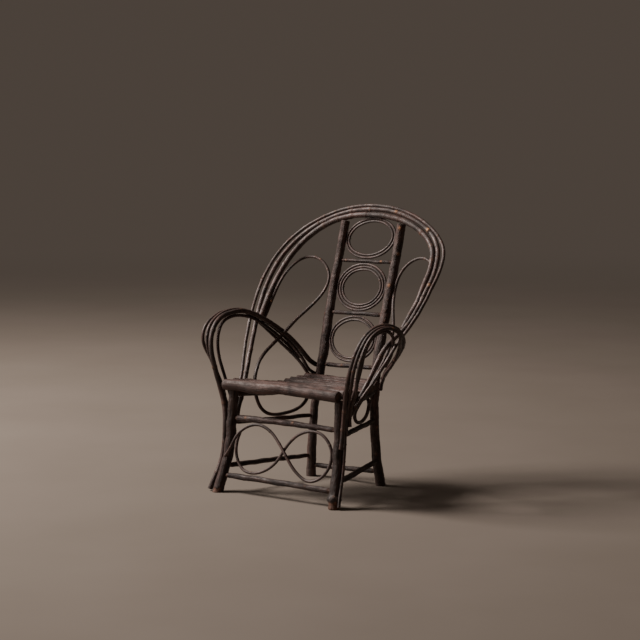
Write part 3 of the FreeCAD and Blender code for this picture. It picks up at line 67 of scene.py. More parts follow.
CROOKED = {
    'front_stretcher_upper': dict(sections=[
    (-232.4, -260.3, 279.6), (-128.3, -260.4, 282.5), (-4, -260.3, 283.6), (120.2, -260.3, 282.4), (224.6, -260.3, 279)],
        radii=[13.0, 12.5, 11.5, 10.5, 10.0], tenon_radius=7.5,
        tip_start=(-250.1, -260.3, 279.1), tip_end=(242.1, -260.3, 278.4), leg_start='front_leg_left', leg_end='front_leg_right'),
    'seat_side_rail_left': dict(sections=[
    (-241, -239.8, 372.5), (-218.7, -160.3, 366.5), (-190.9, -61.5, 360.5), (-163.2, 37.3, 364), (-140.8, 117, 368)],
        radii=[13.5, 13.5, 13.0, 13.0, 13.5], tenon_radius=8.5,
        tip_start=(-245.8, -256.9, 373.8), tip_end=(-136.0, 134.1, 368.9), leg_start='front_leg_left', leg_end='back_post_left'),
    'seat_side_rail_right': dict(sections=[
    (240.5, -239.7, 372.5), (217.8, -160.3, 366.5), (189.6, -61.5, 360.5), (161.4, 37.3, 364), (138.7, 116.7, 368)],
        radii=[13.5, 13.5, 13.0, 13.0, 13.5], tenon_radius=8.5,
        tip_start=(245.4, -256.9, 373.8), tip_end=(133.7, 134.1, 368.9), leg_start='front_leg_right', leg_end='back_post_right'),
}
TURNED = {
    # name: tip at the start, tip at the end, tenon radius, tenon lengths, body radii start/middle/end, legs
    'front_stretcher_lower': ((-265.2, -300.8, 63.9), (253.1, -302.9, 59.2), 8, 18.8, 19.7, 11, 11, 11, 'front_leg_left', 'front_leg_right'),
    'side_stretcher_upper_left': ((-252.5, -259.4, 260.4), (-148.2, 123.8, 247.1), 6.5, 17.7, 15.6, 8.5, 8.5, 8, 'front_leg_left', 'back_post_left'),
    'side_stretcher_upper_right': ((244.1, -259.7, 255.8), (139.4, 123.9, 255.5), 7, 18.3, 16.5, 9.5, 9.5, 9, 'front_leg_right', 'back_post_right'),
    'side_stretcher_lower_left': ((-262.8, -288.3, 96.3), (-163.0, 127.6, 85.1), 7, 20.5, 16.9, 9.5, 9.5, 8.5, 'front_leg_left', 'back_post_left'),
    'side_stretcher_lower_right': ((252.0, -291.3, 87.8), (150.5, 126.5, 95.5), 7.5, 22.5, 16.8, 10.5, 10.5, 10, 'front_leg_right', 'back_post_right'),
    'rear_stretcher': ((-164.1, 133.5, 45.6), (151.9, 132.2, 54.8), 7, 17.6, 17.4, 9.5, 9.5, 9.5, 'back_post_left', 'back_post_right'),
    'seat_rear_rail': ((-131.0, 141.1, 396.0), (130.1, 141.1, 396.0), 8, 16.9, 16.6, 11, 11, 11, 'back_post_left', 'back_post_right'),
    'back_rail_upper': ((-133.5, 274.8, 847.4), (129.6, 275.7, 850.5), 5.5, 15.6, 16.3, 7.5, 7, 7.5, 'back_post_left', 'back_post_right'),
    'back_rail_middle': ((-132.5, 211.0, 648.4), (126.9, 212.0, 651.7), 6, 16.3, 17.3, 8.5, 8, 8.5, 'back_post_left', 'back_post_right'),
    'back_rail_lower': ((-127.4, 151.6, 447.3), (128.3, 153.1, 453.1), 6, 17.2, 17.1, 8.5, 8.5, 8.5, 'back_post_left', 'back_post_right'),
}
SLATS = {
    # name: centre of the left end, centre of the right end, radii left/middle/right, nail positions along the slat
    'seat_slat_01': ((-268.7, -225.3, 407.1), (250.3, -225.3, 408.3), 18.62, 21.84, 19.87, 32.1, 505),
    'seat_slat_02': ((-248.0, -181.3, 401.6), (251.6, -181.3, 399.7), 19.04, 18.89, 17.14, 24.1, 471.5),
    'seat_slat_03': ((-244.2, -144.8, 395.3), (246.8, -144.8, 395.5), 15.19, 14.96, 15.43, 30.1, 457),
    'seat_slat_04': ((-229.8, -112.3, 392.9), (228.4, -112.3, 391.5), 14.84, 14.1, 13.39, 24, 434.2),
    'seat_slat_05': ((-225.5, -81.3, 389.9), (218.9, -81.3, 388.2), 13.7, 12.91, 12.05, 28, 420.4),
    'seat_slat_06': ((-216.3, -52.3, 387.4), (213.3, -52.3, 389.0), 12.03, 12.59, 13.66, 28.1, 403.5),
    'seat_slat_07': ((-211.5, -24.3, 387.2), (205.1, -24.3, 390.0), 10.89, 12.81, 13.64, 32, 390.6),
    'seat_slat_08': ((-195.8, 4.7, 390.3), (201.0, 4.7, 391.6), 12.95, 13.28, 14.25, 24, 366.7),
    'seat_slat_09': ((-193.0, 35.7, 392.2), (189.8, 35.7, 393.5), 13.72, 14.2, 15.06, 30.1, 354.8),
    'seat_slat_10': ((-184.8, 67.7, 394.0), (186.6, 67.7, 395.8), 13.97, 15.2, 15.73, 30.1, 337.2),
    'seat_slat_11': ((-169.9, 101.7, 398.6), (167.3, 101.7, 396.6), 16.88, 15.2, 14.89, 24.1, 313.1),
}
CANES = {
    'hoop_cane_outer': (6.2, [
    (-266, -239.2, 255.5), (-266.1, -233, 291.3), (-270.2, -218, 324.3), (-277.3, -197.6, 353.6), (-286.2, -174.8, 380.6), (-296.4, -151.4, 406.7),
    (-307.1, -129.1, 433.5), (-317.9, -108.4, 461.5), (-328.6, -88.5, 490.1), (-338.9, -68.4, 518.7), (-348.9, -47.9, 547.2), (-358.3, -26.8, 575.4),
    (-367.1, -5.3, 603.5), (-375.3, 16.7, 631.5), (-382.7, 39, 659.3), (-389.3, 61.9, 687), (-395.1, 85.3, 714.3), (-400.1, 109.5, 741.3),
    (-403.9, 134.2, 767.8), (-405.9, 159.3, 794.2), (-405.3, 184.6, 820.5), (-401.5, 209.5, 846.9), (-394, 233.6, 873.2), (-381.9, 256.2, 899.2),
    (-364.7, 276.2, 924.3), (-341.9, 292.2, 947.8), (-314.9, 304.4, 969.2), (-285.1, 313.6, 988.2), (-253.6, 320.7, 1005.1), (-220.8, 326.5, 1020.1),
    (-186.9, 331.1, 1032.9), (-152.2, 334.6, 1043.6), (-116.7, 337.1, 1051.9), (-80.8, 338.7, 1058), (-44.5, 339.6, 1061.7), (-8, 339.9, 1063.2),
    (28.6, 339.8, 1062.3), (64.9, 339.1, 1059.1), (101, 337.8, 1053.6), (136.6, 335.7, 1045.8), (171.5, 332.4, 1035.6), (205.4, 327.8, 1022.9),
    (238.1, 321.7, 1007.9), (269.1, 313.8, 990.4), (298.1, 304, 970.5), (324.5, 291.9, 948.5), (347.3, 276.4, 924.7), (364.7, 256.3, 899.8),
    (376.1, 232.7, 874.2), (382.6, 207.5, 848.1), (386, 182.1, 821.6), (386.4, 156.8, 795), (384.9, 131.8, 767.9), (383.8, 108.9, 740.4),
    (380.1, 86, 713.2), (375.3, 63.9, 686), (368, 41.9, 659.9), (359.5, 20.2, 633.9), (348.7, -3, 607.2), (339.1, -26.2, 578.4),
    (331.4, -47.7, 548.8), (323.3, -68.5, 519.7), (314.3, -89, 490.7), (304.7, -109.1, 461.9), (294.7, -129.6, 433.5), (285.1, -151.5, 406.2),
    (276.5, -175, 379.9), (269, -198.2, 353.1), (262.9, -218.9, 323.9), (258.9, -233.8, 291.2), (257.6, -239, 255.4)]),
    'hoop_cane_middle': (8, [
    (-250.2, -232.9, 279.3), (-251.5, -222.3, 313.8), (-257.4, -201.4, 342.8), (-265.4, -178.5, 369.9), (-274.2, -156.4, 397.3), (-283.4, -135.1, 425.3),
    (-292.2, -114.4, 453.8), (-300.7, -93.9, 482.6), (-308.8, -73.4, 511.6), (-316.8, -52.8, 540.4), (-325, -31.9, 569), (-333.5, -10.6, 597.2),
    (-341.9, 11.2, 625.1), (-350, 33.5, 652.7), (-357.5, 56.3, 680), (-364.1, 79.7, 707.2), (-369.4, 103.5, 734.2), (-373.2, 127.9, 761),
    (-375.3, 152.7, 787.6), (-375.1, 177.8, 814.1), (-371.9, 202.8, 840.4), (-365, 227.2, 866.6), (-353.6, 250.5, 892.4), (-337.3, 271.4, 917.3),
    (-315.3, 288.4, 941), (-288.7, 300.8, 962.5), (-259.3, 310.4, 981.7), (-227.9, 317.9, 998.6), (-195, 323.8, 1012.9), (-160.9, 328.3, 1024.8),
    (-125.9, 331.6, 1034.2), (-90.3, 334.1, 1041.2), (-54.3, 335.7, 1045.8), (-18, 336.4, 1048.2), (18.4, 336.2, 1048.3), (54.7, 335.2, 1046.1),
    (90.7, 333.4, 1041.4), (126.3, 330.9, 1034.2), (161.2, 327.7, 1024.4), (195.2, 323.8, 1012.1), (228, 318.4, 997.2), (258.9, 310.7, 979.8),
    (287.1, 299.7, 959.7), (311.2, 284.8, 937.2), (331, 266.6, 913), (345.5, 245.1, 887.8), (355.8, 221.8, 861.9), (362.6, 197.4, 835.6),
    (366.4, 172.6, 809.2), (367, 147.4, 782.7), (366.5, 123.4, 756.3), (366, 101.4, 729.8), (363.2, 79.6, 703.7), (358.1, 58.3, 677.9),
    (351.2, 37.6, 652.8), (339, 14.7, 628.1), (323, -10, 603.1), (306.7, -35.1, 576.7), (296.7, -57.1, 547.8), (290.3, -77.1, 517.4),
    (284.9, -96.7, 486.6), (279.7, -116.2, 455.8), (274.2, -136.1, 425.4), (267.6, -156.6, 395.9), (259.7, -178.3, 367.7), (252.2, -201.3, 340.6),
    (246, -221.6, 311.2), (242.3, -232.7, 277.4)]),
    'hoop_cane_inner': (10, [
    (-324.6, 15.7, 630.8), (-328.3, 38, 658.9), (-331.8, 60.9, 686.5), (-334.9, 84.4, 713.7), (-337.2, 108.5, 740.4), (-338.6, 133.1, 766.8),
    (-338.6, 158.1, 792.8), (-336.8, 183.1, 818.8), (-332.3, 207.8, 844.7), (-324.3, 231.6, 870.6), (-311.9, 253.6, 896.3), (-294.6, 273.1, 921.2),
    (-272.6, 289.5, 944.7), (-246.1, 302.1, 965.9), (-216.2, 311.4, 984), (-183.7, 318, 998.8), (-149.5, 322.5, 1010.1), (-114.3, 325.4, 1018.2),
    (-78.5, 326.9, 1023.5), (-42.3, 327.6, 1026.4), (-6.1, 327.8, 1027.3), (30.1, 327.6, 1026.5), (66.2, 326.9, 1023.5), (102, 325.3, 1018.2),
    (137.2, 322.5, 1010.2), (171.5, 318.4, 999.5), (204.5, 312.6, 985.9), (235.7, 304.7, 969.5), (264.4, 293.8, 950.3), (289.7, 279.7, 928.9),
    (310.6, 262.1, 905.4), (324.6, 240.3, 880.4), (334.3, 216.9, 854.3), (340, 192.5, 827.5), (342.7, 168.1, 800.1), (342.7, 143.7, 772.2),
    (343.8, 122.3, 743.7), (341.2, 100.9, 716), (335.9, 78.3, 688.1), (331.2, 55.5, 659.9), (328.2, 32.3, 631.3)]),
    'arm_left_cane_inner': (9.5, [
    (-312.1, -323.2, 7), (-303.9, -310.7, 40.7), (-297.6, -295.8, 73.7), (-292, -281.3, 107.2), (-287.8, -271.5, 142.5), (-285.3, -265.9, 178.9),
    (-283.7, -265.2, 215.9), (-282.2, -265.8, 252.9), (-285, -262.4, 289.6), (-293.9, -256.8, 324.9), (-304.2, -254.8, 360.2), (-312.9, -258.4, 395.8),
    (-318, -267.3, 431.2), (-319.8, -279, 466.2), (-322.6, -288.3, 501.8), (-328.6, -290.5, 538.2), (-335.1, -283.3, 573.9), (-340.3, -265.8, 606.1),
    (-344.5, -239.5, 631.9), (-348.1, -206.7, 649.1), (-349.6, -170.8, 658.8), (-346.6, -134.2, 664.4), (-337.6, -98.1, 666.2), (-322.9, -64.6, 660.1),
    (-305.8, -34.9, 645.9), (-291.8, -5.3, 628.5), (-281.8, 25.3, 610.2), (-272.2, 54.9, 590.3), (-259.5, 81.6, 568.3), (-240.9, 101.7, 543.6),
    (-217.3, 112.9, 517.1), (-192.6, 118.1, 489.8), (-169.2, 126.6, 462.2), (-157.4, 154.1, 442)]),
    'arm_left_cane_middle': (6.6, [
    (-275.4, -246.3, 288.9), (-291.7, -241, 320.8), (-308.1, -236.3, 352.7), (-321.4, -237, 386.4), (-330.2, -244.4, 420.8), (-336.4, -255.9, 454.7),
    (-342.1, -268.9, 488.2), (-347.9, -279.5, 522.4), (-353.5, -283.1, 558), (-358.2, -275.6, 593), (-361.7, -256.3, 623.2), (-363.8, -226.5, 643.5),
    (-365.6, -193, 657.1), (-366.1, -158, 666.3), (-363, -122.1, 670.7), (-353.7, -87, 669.9), (-338.6, -54.9, 662.8), (-321.3, -27.3, 647),
    (-307.5, -0.6, 626.9), (-298.5, 28.8, 607.6), (-289.9, 57.8, 587.7), (-277.3, 83.1, 565.1), (-258.6, 100.4, 539.5), (-236, 109.6, 512.7),
    (-211.1, 112, 486.3), (-186.6, 111.7, 459.3), (-168.8, 119.3, 428.7), (-156.1, 145.4, 409.3)]),
    'arm_left_cane_outer': (6.4, [
    (-298.6, -246.1, 304.8), (-317.4, -221.1, 321.8), (-332.2, -207, 352.4), (-343.6, -205.7, 387.4), (-352, -215.5, 422.4), (-358, -229.7, 456.5),
    (-363.6, -245.9, 489.7), (-369.8, -263.2, 522), (-376.1, -277.1, 555.9), (-379.4, -275, 592.4), (-381, -255.7, 623.4), (-382.9, -224.5, 642.5),
    (-385, -190.1, 655), (-385.3, -154.4, 662.9), (-381.2, -118.3, 666.3), (-370.3, -83.7, 665.3), (-353.5, -52.3, 657.4), (-335.8, -26.3, 638.7),
    (-323.1, -0.4, 615.8), (-314.6, 26.8, 592.3), (-305.4, 52.8, 567.7), (-290.4, 74.7, 542), (-268.7, 90.8, 516.8), (-243.3, 101.8, 492.3),
    (-217, 108.1, 467.3), (-192.7, 112.6, 440.4), (-173.1, 120.3, 410.9), (-158.2, 139.4, 384.2)]),
    'arm_left_cane_under': (6.2, [
    (-268.8, -240.9, 304), (-279.5, -228.3, 336.6), (-293, -226.2, 370.8), (-305.9, -225.8, 405.5), (-317.4, -228.2, 440.6), (-327.1, -232.9, 476.1),
    (-335, -236.3, 512.2), (-341, -234.9, 548.8), (-345.8, -225.9, 584.4), (-350.4, -205.7, 615.1), (-354.6, -174.5, 634.9), (-355.4, -138.6, 645.1),
    (-349.8, -101.8, 648.1), (-338.4, -66.5, 643.9), (-323.8, -34, 632.2), (-309.3, -4.5, 614), (-298.5, 24.8, 593.1), (-289.1, 53.9, 571.1),
    (-277.9, 81.1, 547.5), (-261.8, 103.1, 521.8), (-239.6, 117.1, 495.2), (-214.2, 125, 468.8)]),
    'arm_right_cane_inner': (8, [
    (267.4, -282.7, 215.1), (270.7, -279.2, 251.8), (272.3, -276.6, 288.6), (274.1, -275.2, 325.5), (277.5, -275.8, 362.4), (283.4, -278.5, 399.1),
    (290.8, -282.2, 435.5), (299.5, -284.8, 471.6), (309, -284.3, 507.6), (317.8, -278.9, 543.5), (325.6, -267.2, 578.2), (332.7, -248.5, 609.9),
    (340.2, -223.1, 636.6), (350.2, -191.9, 655.2), (363.6, -157.3, 662.8), (375.9, -121.5, 659.2), (381.6, -86.7, 644.8), (378.7, -55.1, 623.9),
    (368.2, -25.8, 602.5), (351.7, 1.2, 582.3), (330.9, 25, 562.1), (307.6, 46.1, 541.6), (282.9, 65.1, 520.5), (257.5, 82.6, 499),
    (231.8, 99.4, 477.2), (206.3, 116.2, 455.2), (181.5, 133.8, 433.2), (156.6, 153.3, 413)]),
    'arm_right_cane_middle': (6.6, [
    (270.5, -257.5, 279.9), (273.1, -255.1, 316.5), (278.1, -256.1, 352.9), (286.9, -261.4, 388.2), (299.3, -270.7, 421.5), (311.4, -280, 455),
    (321.7, -285.7, 489.8), (330.3, -285.4, 525.5), (337.7, -277.6, 560.6), (344.4, -262.9, 593.5), (351.8, -241.7, 622.6), (361.1, -214.5, 645.4),
    (373.4, -181.9, 657.7), (386.7, -147.2, 657.4), (395.5, -112.6, 646), (393.7, -81.2, 626), (378.2, -55, 605.2), (359.9, -29.2, 586.3),
    (341.6, -3.7, 567), (320.2, 19.1, 547.2), (296.8, 39.5, 526.8), (272.2, 58, 506.1), (246.5, 74.9, 485.3), (219.9, 90.3, 464.6),
    (196.6, 107.7, 442), (178.2, 126.8, 416.5), (157, 144.4, 392.5)]),
    'arm_right_cane_outer': (6.4, [
    (282.4, -245.9, 294.8), (278, -242, 330.5), (286.3, -244.8, 366.1), (303.2, -253.4, 397.6), (320.5, -264.4, 428), (332.5, -274.7, 461.1),
    (341.5, -281.6, 496), (349.5, -282.3, 531.8), (356, -274.5, 567.1), (361.7, -258.9, 599.7), (368.3, -236.4, 627.8), (377.7, -207.7, 648.3),
    (391.2, -174.8, 656.5), (404, -141.1, 650.2), (406.5, -110.1, 630.7), (393.3, -83.3, 609.1), (374.8, -57.8, 590), (356.1, -31.9, 571.7),
    (335.5, -8, 552.5), (314.2, 13.4, 531.4), (291.9, 32.6, 509.2), (268.3, 49.9, 486.9), (242.9, 66, 465.8), (216.6, 82.8, 446.3),
    (194.5, 103.8, 425.5), (174.3, 122.1, 400.7), (158.4, 139, 372.3)]),
    'arm_right_cane_under': (6.2, [
    (262.5, -241, 305.2), (268.2, -237.1, 340.8), (277.7, -235.5, 375.7), (289.7, -235.5, 409.8), (302.4, -236, 443.8), (314.1, -236.2, 478.1),
    (323.4, -235, 513.1), (330.3, -231.4, 548.4), (336.9, -223, 583), (345.6, -206.8, 613.8), (357.7, -181.7, 635.8), (368.4, -149.3, 643.2),
    (369.2, -115.6, 633.6), (359.4, -85.2, 617.9), (344.6, -57.5, 600.4), (327.8, -31.7, 581.4), (310.6, -7.4, 560.8), (291.6, 14.6, 539.8),
    (270.8, 34.4, 518.8), (248.6, 52.6, 497.7), (225.8, 69.5, 476.3)]),
    'leg_cane_right': (6, [
    (290.3, -328.1, 9.2), (284.8, -313.7, 43.9), (280.3, -298.5, 78.5), (276.8, -285.3, 113.9), (274.3, -275.5, 150.5), (272.4, -267.9, 187.7),
    (271, -262.2, 225.2), (270.2, -258.7, 263)]),
    'side_scroll_left': (5, [
    (-319.9, 30.8, 626.5), (-319, 43.9, 644.2), (-318.7, 56.9, 662.1), (-318.9, 70, 679.9), (-319.4, 83.2, 697.5), (-319.9, 96.7, 715),
    (-320.2, 110.5, 732.2), (-320.1, 124.7, 749.1), (-319.4, 139.4, 765.6), (-317.8, 154.6, 781.4), (-315.1, 170.4, 796.6), (-311.1, 186.8, 810.8),
    (-306.3, 204.1, 823.6), (-300.8, 222.4, 834.7), (-293.1, 240.8, 844.1), (-278.9, 255.9, 851.5), (-258.1, 262.4, 854.6), (-236.1, 263.8, 852.6),
    (-215.2, 263.6, 845.3), (-196.7, 262.2, 833.4), (-181.1, 259.3, 817.9), (-169.3, 254.6, 799.8), (-162.1, 247.3, 780.2), (-160.2, 237.8, 760.3),
    (-162.2, 226.9, 741.3), (-167.3, 215.4, 723.2), (-174.5, 203.4, 706.2), (-183.3, 191.1, 690.3), (-193, 178.5, 675.3), (-203.2, 165.5, 661),
    (-213.2, 152, 647.1), (-222.6, 137.9, 633.3), (-230.8, 123.1, 619.5), (-237.3, 107.5, 605.5), (-242.3, 91.2, 591.3), (-246.8, 74.6, 577.3),
    (-251.7, 58.1, 563.5), (-257.1, 41.4, 550.3), (-262.2, 24.3, 537.6), (-266.5, 6.7, 525.3), (-269.5, -11.3, 513.1), (-270.7, -29.4, 501),
    (-270.1, -47.4, 488.7), (-267.9, -64.8, 475.7), (-264.7, -81.1, 461.5), (-260.9, -95.8, 445.7), (-256.9, -108.2, 428), (-252.8, -117.9, 408.7),
    (-248.6, -124.6, 388.2), (-244.1, -128.1, 366.9), (-239.3, -128, 345.3), (-233.9, -124.3, 324.2), (-227.3, -116.9, 304.5), (-218.7, -105.8, 287.5),
    (-207.2, -91, 275.9), (-193.6, -74.2, 271.5), (-179.7, -57, 271.9), (-166.5, -39.6, 275.1), (-154.4, -21.7, 279.6), (-143.9, -3.2, 285.6),
    (-134.9, 14.6, 295), (-127.6, 30.6, 308.3), (-123.4, 44.2, 325.2), (-124.2, 53.8, 345.1)]),
    'side_scroll_right': (5, [
    (325.5, 232.4, 850.5), (312.5, 242.3, 864.7), (294.3, 250.2, 872.8), (274.7, 258.2, 875.5), (254.4, 264.6, 874.2), (234.1, 268.1, 868.9),
    (214.6, 269.2, 860.3), (196.8, 268.3, 848.4), (181.7, 265.6, 833.4), (169.8, 261.4, 815.9), (161.3, 256.4, 796.5), (156.1, 251, 775.9),
    (153.7, 245, 754.9), (153.9, 237.4, 734.1), (157.2, 227.4, 714.8), (163.3, 215.4, 697.5), (171.4, 202.3, 682.1), (180.8, 188.4, 668.2),
    (190.8, 174.1, 655.3), (200.9, 159.4, 642.7), (210.8, 144.6, 630), (220.2, 129.6, 617.2), (229, 114.3, 604.1), (236.9, 98.9, 590.6),
    (243.9, 83.2, 576.8), (249.8, 67.3, 562.6), (254.2, 51.3, 548.1), (257.3, 35.3, 533.2), (259.1, 19.3, 518), (260, 3.2, 502.9),
    (260.4, -13, 487.8), (260.7, -29.3, 472.9), (261, -45.8, 458.2), (261.4, -62.5, 443.6), (261.2, -78.9, 428.7), (259.7, -94.5, 413),
    (256.3, -108.7, 396.2), (250.5, -120.7, 378.3), (242.8, -129.9, 359.5), (233.9, -134.9, 339.5), (225.1, -132.5, 318.9), (218.1, -121, 300.7),
    (212.6, -103.5, 287.6), (207.9, -82.8, 280.6), (203.5, -61, 279.7), (199, -39.8, 283), (194, -19.5, 289), (188.2, -0.4, 297),
    (181.4, 17.2, 307), (173.8, 33, 318.9), (165.5, 46.9, 333), (152.6, 58.3, 347), (132.8, 64, 353.7), (116.6, 63.8, 352.4)]),
    'front_figure_eight': (4.6, [
    (-254.9, -303.9, 136.6), (-240.8, -301.2, 155.9), (-228.6, -299.9, 176.6), (-217.4, -297.4, 197.8), (-206.4, -291.8, 218.4), (-192.4, -284.6, 236.6),
    (-173.9, -278.5, 250.7), (-152.4, -273.7, 260.4), (-129.1, -270.3, 265.2), (-105.2, -268.4, 263.7), (-82.4, -268.3, 256), (-61.5, -269.8, 244.2),
    (-42.3, -272.7, 229.9), (-24.3, -276.9, 214.5), (-7.4, -281.5, 198.1), (8.7, -285.9, 180.7), (24, -289.1, 162.4), (39.3, -291.3, 143.9),
    (55.5, -293, 126.2), (73.4, -294.6, 110.2), (93.2, -296.3, 96.7), (115.2, -297.7, 87), (138.9, -298.2, 83.7), (162.4, -297.2, 88.6),
    (183.2, -295, 100.3), (200.5, -292, 116.7), (213.7, -288.4, 136.4), (222.1, -284.3, 158.6), (224.5, -279.9, 182.1), (219.8, -275.5, 205.2),
    (208.3, -271.5, 226), (192, -268.1, 243.2), (171.8, -265.7, 256.1), (149, -264.5, 263.3), (125, -264.4, 264.6), (101.3, -265, 260.9),
    (78.6, -265.8, 252.9), (57.6, -266.7, 241.2), (38.7, -267.9, 226.4), (22.1, -269.7, 209.1), (8, -272.6, 189.9), (-4.4, -276.6, 169.6),
    (-16.7, -281.2, 149.4), (-31.1, -285.9, 130.7), (-48.6, -290.3, 114.7), (-68.6, -293.9, 101.8), (-90.5, -296.6, 92.3), (-113.8, -298, 86.3),
    (-137.7, -298.3, 84.4), (-161.5, -297.3, 88.1), (-182.5, -294.8, 99.3), (-198.8, -291, 116.6), (-210.3, -286.3, 137.2), (-217.4, -280.8, 159.6),
    (-220.1, -274.4, 182.6), (-217.9, -268.2, 205.8), (-210.8, -263.5, 228.3)]),
    'back_ring_upper_outer': (4.3, [
    (-101.5, 315.6, 968.1), (-112, 309.1, 947.6), (-114, 301.7, 924.7), (-106.1, 294.6, 902.9), (-90.4, 288.9, 885.4), (-70.1, 284.9, 873),
    (-47.4, 282.4, 865.3), (-23.5, 281.2, 861.7), (0.7, 281.2, 861.7), (24.6, 282.3, 865.3), (47.6, 284.6, 872.4), (69.1, 288.1, 883),
    (87.9, 292.8, 897.5), (102.3, 298.8, 915.9), (109.6, 306, 937.9), (107, 313.4, 960.7), (95, 319.9, 980.6), (76.6, 324.8, 995.5),
    (54.7, 328.1, 1005.5), (31.2, 330, 1011.1), (7, 330.6, 1012.9), (-17.2, 330, 1011.2), (-40.8, 328.2, 1006.2), (-63.3, 325.4, 997.6),
    (-83.7, 321.3, 985.3), (-100.7, 315.9, 969.1)]),
    'back_ring_upper_inner': (4.3, [
    (85.4, 297.3, 911.8), (96.3, 304, 932.3), (96.3, 311.5, 955.2), (84.6, 318, 975.3), (65.5, 322.6, 989.5), (43.1, 325.4, 998.2),
    (19.2, 326.7, 1002.3), (-5, 326.7, 1002.3), (-28.9, 325.5, 998.5), (-51.9, 323.1, 991), (-72.9, 319.4, 979.6), (-90.4, 314.2, 963.7),
    (-101.6, 307.6, 943.2), (-101.9, 300.1, 920.3), (-90.4, 293.6, 900.1), (-71.5, 288.9, 885.7), (-49.1, 286, 876.9), (-25.2, 284.7, 872.8),
    (-1, 284.7, 872.7), (23, 285.9, 876.3), (45.9, 288.3, 883.7), (67, 291.9, 895.1), (84.7, 297.1, 910.9)]),
    'back_ring_middle_outer': (4.4, [
    (-98.5, 258.5, 795.1), (-110.2, 251.8, 774.6), (-115, 244.4, 751.7), (-112.1, 236.9, 728.4), (-101.9, 230, 707.1), (-85.9, 224.2, 689.4),
    (-65.8, 219.9, 676), (-43.2, 216.9, 667), (-19.1, 215.5, 662.4), (5.5, 215.4, 662.1), (29.7, 216.6, 666.1), (52.7, 219.3, 674.3),
    (73.4, 223.4, 686.8), (90.5, 228.8, 703.6), (102.5, 235.4, 724), (107.6, 242.9, 746.9), (105, 250.4, 770.1), (95, 257.3, 791.5),
    (79.2, 263.1, 809.3), (59.1, 267.5, 822.9), (36.5, 270.5, 832), (12.4, 272, 836.8), (-12.2, 272.2, 837.2), (-36.4, 270.9, 833.3),
    (-59.5, 268.3, 825.2), (-80.4, 264.2, 812.7), (-97.7, 258.8, 796.1)]),
    'back_ring_middle_mid': (4.4, [
    (81.1, 230.7, 709.4), (92.7, 237.4, 730.1), (96.1, 245, 753.4), (90.6, 252.4, 776.2), (77.2, 258.8, 795.9), (58.3, 263.7, 811),
    (36, 266.9, 821.1), (11.9, 268.6, 826.3), (-12.8, 268.7, 826.6), (-37, 267.3, 822.2), (-59.7, 264.3, 812.9), (-79.5, 259.7, 798.9),
    (-94.5, 253.7, 780.2), (-102.4, 246.5, 758), (-101.6, 238.9, 734.6), (-92.1, 231.8, 713), (-75.8, 226.1, 695.3), (-55.1, 222, 682.6),
    (-31.8, 219.5, 674.8), (-7.2, 218.5, 672), (17.4, 219.2, 673.9), (41, 221.3, 680.6), (62.5, 225.1, 692.1), (80.3, 230.4, 708.4)]),
    'back_ring_middle_inner': (4.4, [
    (-78.2, 255, 784.3), (-89.4, 248.1, 763.2), (-90.7, 240.5, 739.6), (-81.7, 233.4, 717.6), (-64.7, 227.7, 700.3), (-43, 224, 688.7),
    (-18.9, 222.1, 682.8), (6, 221.9, 682.5), (30.3, 223.6, 687.5), (52.6, 227, 698.1), (70.8, 232.2, 714.2), (82.2, 239.1, 735.2),
    (83.8, 246.7, 758.8), (75, 253.9, 780.9), (58.3, 259.5, 798.3), (36.6, 263.4, 810.1), (12.6, 265.3, 816.1), (-12.3, 265.5, 816.6),
    (-36.7, 263.9, 811.7), (-59, 260.5, 801.3), (-77.4, 255.3, 785.3)]),
    'back_ring_lower_outer': (4.3, [
    (-92.4, 195.8, 599.1), (-103.5, 189.3, 578.9), (-107.7, 181.8, 556), (-104.3, 174.2, 532.6), (-93.7, 167.3, 511.4), (-77.4, 161.7, 494),
    (-57.1, 157.5, 481.1), (-34.4, 154.8, 472.7), (-10.5, 153.5, 468.7), (13.8, 153.6, 469.2), (37.7, 155.2, 473.9), (60, 158.2, 483.1),
    (79.7, 162.6, 496.9), (95.1, 168.5, 515), (104.3, 175.6, 536.8), (105.6, 183.2, 560.4), (98.7, 190.6, 583), (85, 196.9, 602.5),
    (66.3, 201.9, 617.8), (44.5, 205.4, 628.5), (20.8, 207.4, 634.8), (-3.7, 208, 636.7), (-28.2, 207.2, 634.2), (-51.8, 205, 627.3),
    (-73.4, 201.3, 615.9), (-91.6, 196.1, 600)]),
    'back_ring_lower_inner': (4.3, [
    (78.8, 167.7, 512.5), (91.1, 174.3, 532.7), (94.7, 181.7, 555.7), (88.5, 189, 578.2), (74.3, 195.2, 597.2), (54.8, 199.8, 611.2),
    (32.2, 202.7, 620.3), (8, 204, 624.5), (-16.5, 203.9, 623.9), (-40.3, 202.1, 618.5), (-62.3, 198.8, 608.2), (-80.8, 193.8, 592.9),
    (-93.3, 187.3, 572.9), (-97.1, 179.9, 549.9), (-91.2, 172.5, 527.3), (-77.1, 166.4, 508.3), (-57.7, 161.7, 494.1), (-35.2, 158.8, 484.9),
    (-11.1, 157.4, 480.6), (13.4, 157.5, 481.1), (37.3, 159.2, 486.3), (59.4, 162.5, 496.4), (78, 167.4, 511.6)]),
}
SHIFT = (-0.0057, -0.3223)


